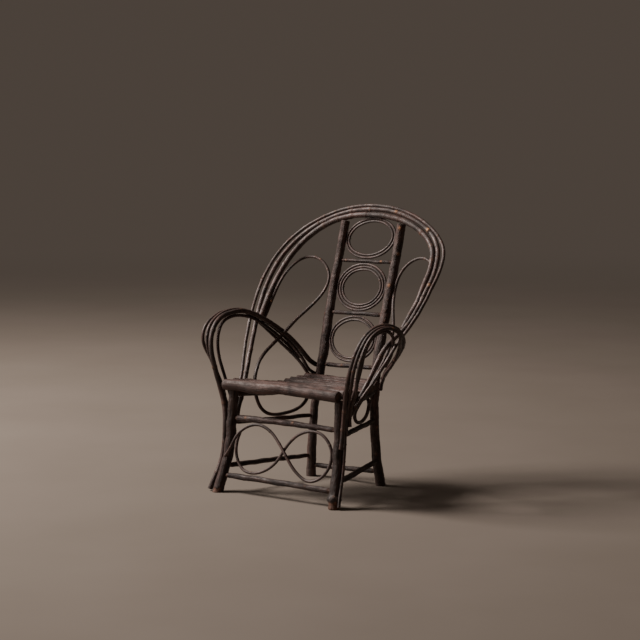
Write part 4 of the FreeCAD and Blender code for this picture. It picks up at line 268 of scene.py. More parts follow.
# ------------------------------------------------------------------ curves
def spline(points, step):
    """natural cubic spline through the points, sampled evenly; also gives the parameter (index) of each sample"""
    P = np.asarray(points, float)
    n = len(P)
    if n == 2:
        L = np.linalg.norm(P[1] - P[0])
        k = max(2, int(round(L / step)) + 1)
        w = np.linspace(0, L, k)
        ends = np.array([0.35, 1.0, 1.9])
        w = np.unique(np.r_[w[(w > 2.6) & (w < L - 2.6)], 0.0, L, ends, L - ends]) / L
        return P[0] + (P[1] - P[0]) * w[:, None], w
    t = np.r_[0, np.cumsum(np.sqrt(np.linalg.norm(np.diff(P, axis=0), axis=1)))]
    h = np.diff(t)
    A = np.zeros((n, n))
    B = np.zeros((n, 3))
    A[0, 0] = A[-1, -1] = 1
    for i in range(1, n - 1):
        A[i, i - 1], A[i, i], A[i, i + 1] = h[i - 1], 2 * (h[i - 1] + h[i]), h[i]
        B[i] = 6 * ((P[i + 1] - P[i]) / h[i] - (P[i] - P[i - 1]) / h[i - 1])
    M = np.linalg.solve(A, B)
    Q, W = [], []
    for i in range(n - 1):
        x = np.linspace(0, 1, 24, endpoint=(i == n - 2)) * h[i]
        a, b = h[i] - x, x
        q = (M[i] * a[:, None] ** 3 + M[i + 1] * b[:, None] ** 3) / (6 * h[i]) + (P[i] / h[i] - M[i] * h[i] / 6) * a[:, None] + (P[i + 1] / h[i] - M[i + 1] * h[i] / 6) * b[:, None]
        Q.append(q)
        W.append(i + x / h[i])
    Q = np.vstack(Q)
    W = np.concatenate(W)
    s = np.r_[0, np.cumsum(np.linalg.norm(np.diff(Q, axis=0), axis=1))]
    k = max(4, int(round(s[-1] / step)) + 1)
    u = np.linspace(0, s[-1], k)
    ends = np.array([0.35, 1.0, 1.9])
    u = np.unique(np.r_[u[(u > 2.6) & (u < s[-1] - 2.6)], 0.0, s[-1], ends, s[-1] - ends])
    return np.stack([np.interp(u, s, Q[:, j]) for j in range(3)], 1), np.interp(u, s, W)


def transport(C, ref):
    """tangents and a frame that does not twist"""
    d = np.r_[0, np.cumsum(np.linalg.norm(np.diff(C, axis=0), axis=1))]
    T = np.gradient(C, d, axis=0)
    T /= np.linalg.norm(T, axis=1)[:, None]
    N = np.zeros_like(C)
    v = ref - T[0] * (ref @ T[0])
    if np.linalg.norm(v) < 1e-3:
        v = np.array([0.0, 1.0, 0.0]) - T[0] * T[0][1]
    N[0] = v / np.linalg.norm(v)
    for i in range(1, len(C)):
        v = N[i - 1] - T[i] * (N[i - 1] @ T[i])
        N[i] = v / np.linalg.norm(v)
    return T, N, np.cross(T, N)


def seed_of(name):
    return sum((i + 3) * 131 * ord(c) for i, c in enumerate(name)) % 1000003


class Waves:
    """smooth periodic noise over (distance along in mm, angle around)"""

    def __init__(self, rng, count, wave_min, wave_max, m_max, m_min=0):
        self.f = 2 * np.pi / np.exp(rng.uniform(math.log(wave_min), math.log(wave_max), count))
        self.m = rng.integers(m_min, m_max + 1, count)
        self.p = rng.uniform(0, 2 * np.pi, count)
        self.q = rng.uniform(0, 2 * np.pi, count)
        self.a = rng.uniform(0.5, 1.0, count)
        self.a /= math.sqrt((self.a ** 2).sum() / 2)

    def __call__(self, s, th):
        out = np.zeros(np.broadcast(s, th).shape)
        for f, m, p, q, a in zip(self.f, self.m, self.p, self.q, self.a):
            out += a * np.cos(f * s + p) * (np.cos(m * th + q) if m else 1.0)
        return out * 0.7


def smooth(x, a, b):
    t = np.clip((x - a) / (b - a), 0, 1)
    return t * t * (3 - 2 * t)


def wrap(a):
    return (a + np.pi) % (2 * np.pi) - np.pi


# ------------------------------------------------------------------ one bark-on stick
def stick(name, nodes, slot, material, points, radii, around, step, lumps=0.03, ridges=0.012, wander=0.5,
          nodes_every=None, knots_every=None, knots=(), ref=(0, 0, 1), flat_start=False, profile=None,
          wear=0.0, wear_and_top_light=0.0, tone=0.0, round_end=(1.2, 1.2), oval=0.03, cut=(1.0, 1.0), bow=None, peels=(), collars=()):
    """name: piece name; nodes: CAD nodes it stands for; points in mm with radii in mm.
    knots: (distance, direction, width, height, colour strength)"""
    rng = np.random.default_rng(seed_of(name))
    C, W = spline(points, step)
    if bow is not None:
        tt = np.linspace(-1, 1, len(C))
        C = C + np.outer(1 - tt ** 2, bow)
    T, N, B = transport(C, np.array(ref, float))
    s = np.r_[0, np.cumsum(np.linalg.norm(np.diff(C, axis=0), axis=1))]
    L = s[-1]
    R = np.interp(W, np.arange(len(radii)), radii) if profile is None else np.interp(s, profile[0], profile[1])
    # a little wandering of the axis, none at the ends
    if wander:
        env = smooth(s, 0, 50) * smooth(L - s, 0, 50)
        wx = Waves(rng, 5, 70, 260, 0)(s, 0.0) * wander * env
        wy = Waves(rng, 5, 70, 260, 0)(s, 0.0) * wander * env
        C = C + N * wx[:, None] + B * wy[:, None]
        T, N, B = transport(C, N[0])
    if flat_start:
        # the foot is sawn level
        w = smooth(s, 0, 2.2 * R[0])[:, None]
        nn = T * w + np.array([0, 0, 1.0]) * (1 - w)
        nn /= np.linalg.norm(nn, axis=1)[:, None]
        N = N - nn * (N * nn).sum(1)[:, None]
        N /= np.linalg.norm(N, axis=1)[:, None]
        B = np.cross(nn, N)
    M = around
    th = np.linspace(0, 2 * np.pi, M, endpoint=False)
    S, TH = s[:, None], th[None, :]
    rel = np.zeros((len(s), M))
    rel += lumps * Waves(rng, 7, 60, 340, 1)(S, TH)
    rel += oval * Waves(rng, 3, 150, 900, 2, 2)(S, TH)
    rel += 0.45 * lumps * Waves(rng, 12, 14, 60, 3)(S, TH)
    if ridges:
        top = max(5, M // 3)
        r1 = Waves(rng, 16, 25, 160, top, 4)(S, TH)
        rel += ridges * (np.abs(r1) * 1.4 - 0.8)
        rel += 0.6 * ridges * Waves(rng, 14, 7, 22, max(3, M // 4), 1)(S, TH)
    add = np.zeros_like(rel)
    knot = np.zeros_like(rel)
    dark = np.zeros_like(rel)

    def bump(at, ang, wide, high, colour, crater=0.55):
        r = np.interp(at, s, R)
        q = ((S - at) / (wide * 1.15)) ** 2 + (wrap(TH - ang) * r / wide) ** 2
        g = np.exp(-q)
        add[:] += high * (g - crater * np.exp(-q * 7.0))
        # the bark drawn into a collar above and below
        add[:] += 0.18 * high * np.exp(-((S - at) / (wide * 2.6)) ** 2) * (0.5 + 0.5 * np.cos(wrap(TH - ang)))
        knot[:] = np.maximum(knot, colour * np.exp(-q * 1.3))
        # painted crease shade: a dark ring round the foot of the knot
        dark[:] = np.maximum(dark, 0.8 * np.exp(-((np.sqrt(q) - 1.15) / 0.28) ** 2))

    if nodes_every:
        at = rng.uniform(0.3, 1.0) * nodes_every
        ang = rng.uniform(0, 2 * np.pi)
        while at < L - 12:
            r = np.interp(at, s, R)
            hgt = rng.uniform(0.05, 0.13) * r
            w = rng.uniform(0.45, 0.8) * r
            add += hgt * np.exp(-((S - at) / w) ** 2) * (0.75 + 0.25 * np.cos(wrap(TH - ang)))
            add -= 0.35 * hgt * np.exp(-((S - at - 1.9 * w) / w) ** 2)
            if rng.uniform() < 0.6:
                bump(at + 0.3 * w, ang, rng.uniform(0.28, 0.5) * r, rng.uniform(0.10, 0.22) * r, rng.uniform(0.0, 0.32))
            knot = np.maximum(knot, rng.uniform(0.0, 0.10) * np.exp(-((S - at) / (0.8 * w)) ** 2))
            # painted crease shade at the foot of the node swelling
            dark = np.maximum(dark, 0.7 * np.exp(-((S - at + 1.2 * w) / (0.35 * w)) ** 2))
            ang += 2.4 + rng.uniform(-0.5, 0.5)
            at += nodes_every * rng.uniform(0.55, 1.5)
    if knots_every:
        at = rng.uniform(0.3, 1.0) * knots_every
        while at < L - 20:
            r = np.interp(at, s, R)
            bump(at, rng.uniform(0, 2 * np.pi), rng.uniform(0.18, 0.36) * r, rng.uniform(0.06, 0.15) * r, rng.uniform(0.0, 0.3))
            at += knots_every * rng.uniform(0.45, 1.6)
    for at, d, wide, high, colour in knots:
        k = int(np.argmin(np.abs(s - at)))
        d = np.array(d, float)
        bump(at, math.atan2(d @ B[k], d @ N[k]), wide, high, colour)
    # bark swollen into a ring: (distance, height, half width)
    for at, high, wide in collars:
        w = np.exp(-((S + 1.6 * np.sin(2 * TH + 0.7) - at) / wide) ** 2)
        add += high * w * (1 + 0.18 * np.sin(3 * TH + 2.0) + 0.1 * np.sin(7 * TH))
        # painted crease shade along the foot of the collar
        dark = np.maximum(dark, 0.7 * np.exp(-((S - at - 1.3 * wide) / (0.4 * wide)) ** 2))
    RAD = R[:, None] * (1 + rel) + add
    cut_v2 = np.zeros_like(rel)
    if profile is not None:
        # whittled ends: no bark relief on the tenons, long knife facets on the tapers
        whole = smooth(s, profile[2][0], profile[2][1]) * smooth(L - s, profile[3][0], profile[3][1])
        fac = np.cos(7 * TH + 1.3 * np.sin(S / 9.0)) * 0.025 * R[:, None]
        RAD = (R[:, None] + fac) * (1 - whole[:, None]) + RAD * whole[:, None]
        knot *= whole[:, None]
        bare = 1 - whole
    else:
        bare = np.zeros(len(s))
    # bark gone from a stretch: (from, to, depth, direction or None, half angle)
    for a0, a1, deep, d, half in peels:
        edge = 2.0 * np.sin(3 * TH + 1.0) + 1.3 * np.sin(7 * TH)
        w = smooth(-(S + edge), -a1 - 1.2, -a1 + 1.2) * (smooth(S + edge, a0 - 1.2, a0 + 1.2) if a0 > 0 else 1.0)
        if d is not None:
            k = int(np.argmin(np.abs(s - 0.5 * (a0 + a1))))
            dd = np.array(d, float)
            w = w * (1 - smooth(np.abs(wrap(TH - math.atan2(dd @ B[k], dd @ N[k]))), half - 0.25, half + 0.1))
        RAD = RAD - deep * w
        cut_v2 = np.maximum(cut_v2, w)
        lip = np.exp(-(((S + edge) - a1 - 2.5) / 2.5) ** 2)
        if d is not None:
            lip = lip * (1 - smooth(np.abs(wrap(TH - math.atan2(dd @ B[k], dd @ N[k]))), half, half + 0.4))
        RAD = RAD + 0.45 * deep * lip
        # painted shade along the lip of the peeled bark
        dark = np.maximum(dark, 0.8 * lip)
    # the ends are rounded a little by wear
    for e, at_end in ((0, s), (1, L - s)):
        c = round_end[e]
        RAD = RAD - np.where(at_end < c, c - np.sqrt(np.maximum(0, c * c - (c - at_end) ** 2)), 0)[:, None] * 0.8
    # denser rings next to the ends keep the rounding crisp
    X = C[:, None, :] + RAD[:, :, None] * (np.cos(TH)[..., None] * N[:, None, :] + np.sin(TH)[..., None] * B[:, None, :])
    n = len(s)
    V = X.reshape(-1, 3)
    rest = np.stack([np.broadcast_to(RAD * np.cos(TH), RAD.shape), np.broadcast_to(RAD * np.sin(TH), RAD.shape), np.broadcast_to(S, RAD.shape)], -1).reshape(-1, 3)
    i0 = (np.arange(n - 1)[:, None] * M + np.arange(M)[None, :])
    i1 = (np.arange(n - 1)[:, None] * M + (np.arange(M)[None, :] + 1) % M)
    F = np.stack([i0, i1, i1 + M, i0 + M], -1).reshape(-1, 4)
    knot_v = knot.reshape(-1)
    crease_shade_v = dark.reshape(-1)
    bare_v = np.repeat(bare, M)
    cut_v = cut_v2.reshape(-1)
    out_dir = (X - C[:, None, :]).reshape(-1, 3)
    out_dir /= np.maximum(1e-9, np.linalg.norm(out_dir, axis=1))[:, None]
    up_v = out_dir[:, 2]
    faces = [F]
    tris = []
    parts_V, parts_rest, parts_cut, parts_knot, parts_crease_shade, parts_bare, parts_up = [V], [rest], [cut_v], [knot_v], [crease_shade_v], [bare_v], [up_v]
    count = len(V)
    # sawn ends, a separate skin with its own rings
    for e, idx, sign in ((0, 0, -1), (1, n - 1, 1)):
        ring = X[idx]
        centre = ring.mean(0)
        normal = np.cross(N[idx], B[idx]) * sign
        levels = (1.0, 0.82, 0.6, 0.35, 0.0)
        start = count
        rr = RAD[idx]
        high = 0.0 if flat_start and e == 0 else 0.25 + 0.02 * rr.mean()
        pith = np.array([rng.uniform(-0.12, 0.12), rng.uniform(-0.12, 0.12)]) * rr.mean()
        for lv in levels[:-1]:
            dome = normal * (1 - lv) * high
            vv = centre + (ring - centre) * lv + dome - normal * np.abs(rng.normal(0, 0.06, M))[:, None] * (lv < 1)
            parts_V.append(vv)
            parts_rest.append(np.stack([rr * lv * np.cos(th) - pith[0], rr * lv * np.sin(th) - pith[1], np.full(M, s[idx] + 300 * sign)], -1))
            parts_cut.append(np.full(M, cut[e]))
            parts_knot.append(np.zeros(M)); parts_crease_shade.append(np.zeros(M)); parts_bare.append(np.zeros(M)); parts_up.append(np.full(M, normal[2]))
            count += M
        parts_V.append((centre + normal * high)[None]); parts_rest.append(np.array([[-pith[0], -pith[1], s[idx] + 300 * sign]]))
        parts_cut.append(np.full(1, cut[e])); parts_knot.append(np.zeros(1)); parts_crease_shade.append(np.zeros(1)); parts_bare.append(np.zeros(1)); parts_up.append(np.full(1, normal[2]))
        tip = count
        count += 1
        k = np.arange(M)
        for lv in range(len(levels) - 2):
            a, b = start + lv * M, start + (lv + 1) * M
            q = np.stack([a + k, a + (k + 1) % M, b + (k + 1) % M, b + k], -1)
            faces.append(q if sign > 0 else q[:, ::-1])
        a = start + (len(levels) - 2) * M
        q = np.stack([a + k, a + (k + 1) % M, np.full(M, tip)], -1)
        tris.append(q if sign > 0 else q[:, ::-1])
    V = np.vstack(parts_V) / 1000.0
    rest = np.vstack(parts_rest) / 1000.0
    Q = np.vstack(faces)
    TR = np.vstack(tris)
    mesh = bpy.data.meshes.new(name)
    nv, nq, nt = len(V), len(Q), len(TR)
    mesh.vertices.add(nv)
    mesh.vertices.foreach_set("co", V.astype(np.float32).ravel())
    mesh.loops.add(nq * 4 + nt * 3)
    mesh.loops.foreach_set("vertex_index", np.concatenate([Q.ravel(), TR.ravel()]).astype(np.int32))
    mesh.polygons.add(nq + nt)
    mesh.polygons.foreach_set("loop_start", np.concatenate([np.arange(nq) * 4, nq * 4 + np.arange(nt) * 3]).astype(np.int32))
    mesh.update(calc_edges=True)
    mesh.validate()
    mesh.shade_smooth()
    up = np.concatenate(parts_up)
    # painted top light: upward faces get more of the lighter worn colour, partly rubbed wear on the seat and arm tops
    # and partly painted light from above
    wear_and_top_light_v = wear + wear_and_top_light * np.clip(up, 0, 1) ** 1.5
    wear_and_top_light_v = np.clip(wear_and_top_light_v, 0, 1)
    col = np.stack([np.clip(np.concatenate(parts_knot), 0, 1), np.concatenate(parts_cut), wear_and_top_light_v, np.full(nv, 0.5 + tone)], -1)
    a = mesh.attributes.new("mask", "FLOAT_COLOR", "POINT")
    a.data.foreach_set("color", col.astype(np.float32).ravel())
    # the first channel of the shade attribute is the painted crease shade
    shade = np.stack([np.clip(np.concatenate(parts_crease_shade), 0, 1), np.concatenate(parts_bare), np.full(nv, rng.uniform()), np.ones(nv)], -1)
    a = mesh.attributes.new("shade", "FLOAT_COLOR", "POINT")
    a.data.foreach_set("color", shade.astype(np.float32).ravel())
    rest = rest + np.array([0, 0, rng.uniform(0, 40)])
    a = mesh.attributes.new("rest", "FLOAT_VECTOR", "POINT")
    a.data.foreach_set("vector", rest.astype(np.float32).ravel())
    mesh.materials.append(material)
    ob = bpy.data.objects.new(name, mesh)
    bpy.context.scene.collection.objects.link(ob)
    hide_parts(*nodes)
    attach(ob, "root")
    return ob


# ------------------------------------------------------------------ materials
def bark(name, dark, mid, light, worn_and_top_lit, knot_colour, cut_colour, rough=(0.5, 0.75), streak=1.0, bump=0.5, gloss=0.4, ridged=0.0):
    m = bpy.data.materials.new(name)
    m.use_nodes = True
    nt = m.node_tree
    nt.nodes.clear()

    def node(kind, **kw):
        n = nt.nodes.new(kind)
        for k, v in kw.items():
            setattr(n, k, v)
        return n

    def link(a, b):
        nt.links.new(a, b)

    def scaled(vec):
        v = node("ShaderNodeVectorMath", operation="MULTIPLY")
        link(rest.outputs["Vector"], v.inputs[0])
        v.inputs[1].default_value = vec
        return v.outputs[0]

    def noise(vec, detail, roughness=0.55, lac=2.0, distortion=0.0):
        n = node("ShaderNodeTexNoise")
        n.inputs["Scale"].default_value = 1.0
        n.inputs["Detail"].default_value = detail
        n.inputs["Roughness"].default_value = roughness
        n.inputs["Lacunarity"].default_value = lac
        n.inputs["Distortion"].default_value = distortion
        link(scaled(vec), n.inputs["Vector"])
        return n.outputs["Fac"]

    def ramp(value, lo, hi, a=0.0, b=1.0):
        r = node("ShaderNodeMapRange", interpolation_type="SMOOTHSTEP")
        r.inputs["From Min"].default_value = lo
        r.inputs["From Max"].default_value = hi
        r.inputs["To Min"].default_value = a
        r.inputs["To Max"].default_value = b
        link(value, r.inputs["Value"])
        return r.outputs["Result"]

    def math_(op, a, b=None, clamp=False):
        n = node("ShaderNodeMath", operation=op, use_clamp=clamp)
        for i, v in enumerate((a, b)):
            if v is None:
                continue
            if isinstance(v, (int, float)):
                n.inputs[i].default_value = v
            else:
                link(v, n.inputs[i])
        return n.outputs[0]

    def mix(fac, a, b, mode="MIX"):
        n = node("ShaderNodeMix", data_type="RGBA", blend_type=mode)
        n.clamp_factor = True
        for sock, v in ((n.inputs[0], fac), (n.inputs[6], a), (n.inputs[7], b)):
            if isinstance(v, (int, float)):
                sock.default_value = v
            elif isinstance(v, tuple):
                sock.default_value = (*v, 1.0)
            else:
                link(v, sock)
        return n.outputs[2]

    rest = node("ShaderNodeAttribute", attribute_type="GEOMETRY", attribute_name="rest")
    mask = node("ShaderNodeAttribute", attribute_type="GEOMETRY", attribute_name="mask")
    shade = node("ShaderNodeAttribute", attribute_type="GEOMETRY", attribute_name="shade")
    sep = node("ShaderNodeSeparateColor")
    link(mask.outputs["Color"], sep.inputs[0])
    k_knot, k_cut, k_wear_and_top_light = sep.outputs[0], sep.outputs[1], sep.outputs[2]
    k_tone = mask.outputs["Alpha"]
    sep2 = node("ShaderNodeSeparateColor")
    link(shade.outputs["Color"], sep2.inputs[0])
    k_crease_shade, k_bare = sep2.outputs[0], sep2.outputs[1]

    fibre = noise((330, 330, 22), 5, 0.62)
    blotch = noise((38, 38, 26), 4, 0.6)
    patch = noise((11, 11, 7), 2, 0.5)
    fine = noise((1500, 1500, 420), 3, 0.6)
    crack = noise((520, 520, 30), 3, 0.55, distortion=0.4)
    lent = noise((210, 210, 1300), 2, 0.5)
    ridge = noise((165, 165, 11), 3, 0.6, distortion=0.3)
    tint = noise((23, 23, 6.5), 3, 0.55)
    ridgem = ramp(ridge, 0.38, 0.60)

    base = math_("ADD", math_("MULTIPLY", fibre, 0.42 * streak), math_("MULTIPLY", blotch, 0.38))
    base = math_("ADD", base, math_("MULTIPLY", fine, 0.20))
    base = math_("ADD", base, math_("MULTIPLY", math_("SUBTRACT", k_tone, 0.5), 0.6))
    base = math_("ADD", base, math_("MULTIPLY", math_("SUBTRACT", patch, 0.5), 0.35))
    c1 = mix(ramp(base, 0.36, 0.52), dark, mid)
    c2 = mix(ramp(base, 0.50, 0.70), c1, light)
    # small pale pores lying across the stick
    c3 = mix(math_("MULTIPLY", ramp(lent, 0.66, 0.74), 0.35), c2, light)
    # long dark cracks
    crackm = ramp(crack, 0.36, 0.43, 1.0, 0.0)
    c4 = mix(math_("MULTIPLY", crackm, 0.75), c3, tuple(0.35 * v for v in dark))
    # the furrows between the ridges of the bark are darker than the ridges
    c4 = mix(math_("MULTIPLY", math_("SUBTRACT", 1.0, ridgem), 0.75 * ridged), c4, tuple(0.6 * v for v in dark))
    # rubbed surfaces, and a painted top light: the lighter worn colour also goes on the upward faces
    wear_and_top_light_m = math_("MULTIPLY", k_wear_and_top_light, ramp(math_("ADD", blotch, math_("MULTIPLY", fibre, 0.5)), 0.45, 0.95), True)
    c5 = mix(wear_and_top_light_m, c4, worn_and_top_lit)
    # some stretches of the bark are redder than others
    c5 = mix(ramp(tint, 0.36, 0.60, 0.1, 1.0), c5, (1.20, 0.91, 0.86), "MULTIPLY")
    # painted crease shade: darker rings at the feet of knots, nodes and collars and along the lips of peeled bark
    c6 = mix(math_("MULTIPLY", k_crease_shade, 0.6), c5, tuple(0.45 * v for v in dark))
    kn = math_("MULTIPLY", k_knot, ramp(math_("ADD", blotch, math_("MULTIPLY", fine, 0.4)), 0.38, 0.78, 0.35, 1.15), True)
    c7 = mix(kn, c6, knot_colour)
    # whittled tapers: bare wood gone grey
    c8 = mix(math_("MULTIPLY", k_bare, 0.55), c7, tuple(0.55 * v for v in cut_colour))
    # sawn ends with rings, cracks and dirt
    xy = node("ShaderNodeVectorMath", operation="MULTIPLY")
    link(rest.outputs["Vector"], xy.inputs[0])
    xy.inputs[1].default_value = (1, 1, 0)
    ln = node("ShaderNodeVectorMath", operation="LENGTH")
    link(xy.outputs[0], ln.inputs[0])
    wob = math_("ADD", ln.outputs["Value"], math_("MULTIPLY", blotch, 0.0012))
    rings = math_("SINE", math_("MULTIPLY", wob, 3300.0))
    ringm = ramp(rings, -0.9, 0.9, 0.55, 1.0)
    cutc = mix(ringm, tuple(0.42 * v for v in cut_colour), cut_colour)
    cutc = mix(ramp(blotch, 0.35, 0.7, 0.65, 0.0), cutc, dark)
    c9 = mix(k_cut, c8, cutc)

    bs = node("ShaderNodeBsdfPrincipled")
    link(c9, bs.inputs["Base Color"])
    ro = ramp(math_("ADD", math_("MULTIPLY", blotch, 0.6), math_("MULTIPLY", fibre, 0.4)), 0.3, 0.7, rough[1], rough[0])
    link(ro, bs.inputs["Roughness"])
    bs.inputs["Specular IOR Level"].default_value = gloss
    hgt = math_("ADD", math_("MULTIPLY", fibre, 0.55), math_("MULTIPLY", blotch, 0.5))
    hgt = math_("SUBTRACT", hgt, math_("MULTIPLY", crackm, 0.5))
    hgt = math_("ADD", hgt, math_("MULTIPLY", fine, 0.18))
    hgt = math_("ADD", hgt, math_("MULTIPLY", ridgem, 0.55 * ridged))
    bp = node("ShaderNodeBump")
    bp.inputs["Strength"].default_value = bump
    bp.inputs["Distance"].default_value = 0.0014
    link(hgt, bp.inputs["Height"])
    link(bp.outputs[0], bs.inputs["Normal"])
    out = node("ShaderNodeOutputMaterial")
    link(bs.outputs[0], out.inputs[0])
    return m


SAPLING = bark("bark_sapling", (0.0090, 0.0056, 0.0046), (0.031, 0.0206, 0.0177), (0.098, 0.0695, 0.0610), (0.150, 0.108, 0.095), (0.46, 0.205, 0.092), (0.20, 0.088, 0.050), rough=(0.44, 0.74), gloss=0.40, bump=0.9, ridged=1.0)
SEAT = bark("bark_seat", (0.0135, 0.0090, 0.0078), (0.040, 0.0277, 0.0243), (0.094, 0.0680, 0.0600), (0.142, 0.104, 0.0925), (0.25, 0.125, 0.070), (0.120, 0.068, 0.045), rough=(0.48, 0.74), gloss=0.36, bump=0.7, ridged=0.5)
CANE = bark("bark_cane", (0.0115, 0.0077, 0.0066), (0.044, 0.0316, 0.0280), (0.132, 0.1000, 0.0905), (0.185, 0.141, 0.128), (0.54, 0.265, 0.120), (0.24, 0.128, 0.078), rough=(0.38, 0.62), streak=1.0, gloss=0.43, bump=0.5, ridged=0.4)


def iron():
    m = bpy.data.materials.new("nail_iron")
    m.use_nodes = True
    nt = m.node_tree
    bs = nt.nodes["Principled BSDF"]
    tc = nt.nodes.new("ShaderNodeTexCoord")
    n = nt.nodes.new("ShaderNodeTexNoise")
    n.inputs["Scale"].default_value = 900
    n.inputs["Detail"].default_value = 3
    nt.links.new(tc.outputs["Object"], n.inputs["Vector"])
    r = nt.nodes.new("ShaderNodeValToRGB")
    r.color_ramp.elements[0].position = 0.35
    r.color_ramp.elements[0].color = (0.012, 0.010, 0.009, 1)
    r.color_ramp.elements[1].position = 0.7
    r.color_ramp.elements[1].color = (0.075, 0.040, 0.026, 1)
    nt.links.new(n.outputs["Fac"], r.inputs[0])
    nt.links.new(r.outputs[0], bs.inputs["Base Color"])
    bs.inputs["Roughness"].default_value = 0.62
    bs.inputs["Metallic"].default_value = 0.35
    return m


IRON = iron()
for node_name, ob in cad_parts.items():
    if node_name.startswith("nails"):
        for slot_ in ob.material_slots:
            slot_.material = IRON

# ------------------------------------------------------------------ the chair
CAM_DIR = np.array([0.5787, -0.8069, 0.1190])
LEFT = np.array([-0.81, -0.58, 0.0])

KNOTS = {
    "hoop_cane_outer": [(1094, (0.4, -0.6, 0.6), 4.5, 1.3, 0.25), (1625, (0.5, -0.8, 0.3), 4.0, 1.3, 0.25)],
    "hoop_cane_middle": [(1320, (0.3, -0.7, 0.6), 6.0, 1.6, 0.8), (1495, (0.5, -0.8, 0.3), 6.5, 1.8, 1.0), (1782, (0.5, -0.8, 0.2), 6.0, 1.6, 0.9)],
    "side_scroll_left": [(76, (0.4, -0.8, 0.3), 3.6, 1.1, 1.0), (398, (0.2, -0.6, 0.8), 3.0, 1.2, 0.3)],
    "back_post_right": [(1008, (0.3, -0.9, 0.1), 7.0, 1.6, 0.9), (906, (0.7, -0.6, 0.1), 6.0, 2.2, 0.6), (778, (0.2, -0.9, 0.1), 6.0, 1.8, 0.95), (640, (0.6, -0.7, 0.1), 5.0, 1.6, 0.3)],
    "back_rail_upper": [(38, (0.2, -0.9, 0.3), 3.5, 1.0, 0.4), (203, (0.3, -0.8, 0.4), 4.0, 1.2, 1.0)],
    "back_rail_lower": [(98, (0.3, -0.8, 0.4), 4.0, 1.3, 0.4)],
    "front_stretcher_upper": [(70, (0.3, -0.8, 0.5), 5.5, 1.8, 0.4), (289, (0.3, -0.8, 0.5), 5.0, 2.0, 0.4)],
    "arm_right_cane_outer": [(468, (0.3, -0.5, 0.8), 4.0, 1.2, 0.9)],
    "arm_left_cane_outer": [(630, (0.3, -0.5, 0.8), 4.0, 1.2, 0.4)],
}


# bark rubbed or split off: (from, to, depth, facing, half angle)
PEELS = {
    "front_leg_right": [(0, 25, 0.8, None, 0)],
    "front_leg_left": [(0, 17, 1.4, (0.3, -1.0, 0.0), 0.9)],
}
COLLARS = {"front_leg_right": [(35, 6.5, 9.0)]}


def seg(r):
    """points round a stick of radius r mm"""
    return max(12, int(round((10 + r * 1.25) * (0.7 if FINE < 1 else 1.0))))


def along(r):
    return (2.6 if r < 9 else 3.6) / FINE


for name, (points, radii) in SAPLINGS.items():
    if name == "seat_front_log":
        even = [0.45 * v + 0.55 * sum(radii) / len(radii) for v in radii]
        stick("v_" + name, (name,), "seat_bark", SEAT, points, even, seg(24), 3.6 / FINE, lumps=0.007, ridges=0.012, wander=0.3,
              knots_every=150, wear=0.2, wear_and_top_light=0.5, tone=0.04, ref=(0, 0, 1), round_end=(7.0, 3.5), knots=KNOTS.get(name, ()))
    else:
        stick("v_" + name, (name,), "sapling_bark", SAPLING, points, radii, seg(20), 3.6 / FINE, lumps=0.034, ridges=0.026, wander=0.9,
              knots_every=80, wear=0.12 if "front" in name else 0.4, tone=0.02 if "front" in name else 0.06, ref=(0, -1, 0), flat_start=True, round_end=(7.0 if name == "front_leg_right" else 2.0, 1.5), knots=KNOTS.get(name, ()), peels=PEELS.get(name, ()), collars=COLLARS.get(name, ()))

for name, t in CROOKED.items():
    P = [t["tip_start"]] + list(t["sections"]) + [t["tip_end"]]
    rt, R = t["tenon_radius"], t["radii"]
    # tenon, taper and body radii as a profile along the piece
    pts = np.array(P, float)
    C, W = spline(P, 2.0)
    L = np.linalg.norm(np.diff(C, axis=0), axis=1).sum()
    ls = float(np.linalg.norm(pts[1] - pts[0]))
    le = float(np.linalg.norm(pts[-1] - pts[-2]))
    body = np.linspace(ls + 12, L - le - 12, len(R))
    prof = (np.r_[0, ls, body, L - le, L], np.r_[rt, rt, R, rt, rt], (ls, ls + 14), (le, le + 14))
    stick("v_" + name, (name,), "sapling_bark", SAPLING, P, [1] * len(P), seg(13), 3.2 / FINE, lumps=0.038, ridges=0.022, wander=0.6,
          nodes_every=None, knots_every=85, profile=prof, wear=0.15, knots=KNOTS.get(name, ()), round_end=(0.5, 0.5))

BOW = {"front_stretcher_lower": (0, 0, 2.6), "side_stretcher_lower_left": (0, 0, 1.2), "side_stretcher_upper_right": (0, 0, -2.0)}
for name, t in TURNED.items():
    a, b, rt, ls, le, r0, r1, r2 = t[:8]
    L = float(np.linalg.norm(np.array(b) - np.array(a)))
    prof = (np.array([0, ls, ls + 12, L / 2, L - le - 12, L - le, L]), np.array([rt, rt, r0, r1, r2, rt, rt]), (ls, ls + 14), (le, le + 14))
    stick("v_" + name, (name,), "sapling_bark", SAPLING, [a, b], [1, 1], seg(r1), 3.0 / FINE, lumps=0.042, ridges=0.022, wander=0.8,
          knots_every=80, profile=prof, wear=0.12, knots=KNOTS.get(name, ()), round_end=(0.5, 0.5), bow=np.array(BOW.get(name, (0, 0, 0)), float))

for i, (name, t) in enumerate(SLATS.items()):
    a, b, r0, r1, r2 = t[:5]
    stick("v_" + name, (name,), "seat_bark", SEAT, [a, [(p + q) / 2 for p, q in zip(a, b)], b], [r0, r1, r2], seg(r1), 3.4 / FINE, lumps=0.012, ridges=0.011, wander=0.3,
          knots_every=130, wear=0.2, wear_and_top_light=0.55, tone=(0.03, -0.02, 0.05, 0.0, -0.03)[i % 5], round_end=(2.0, 2.0))

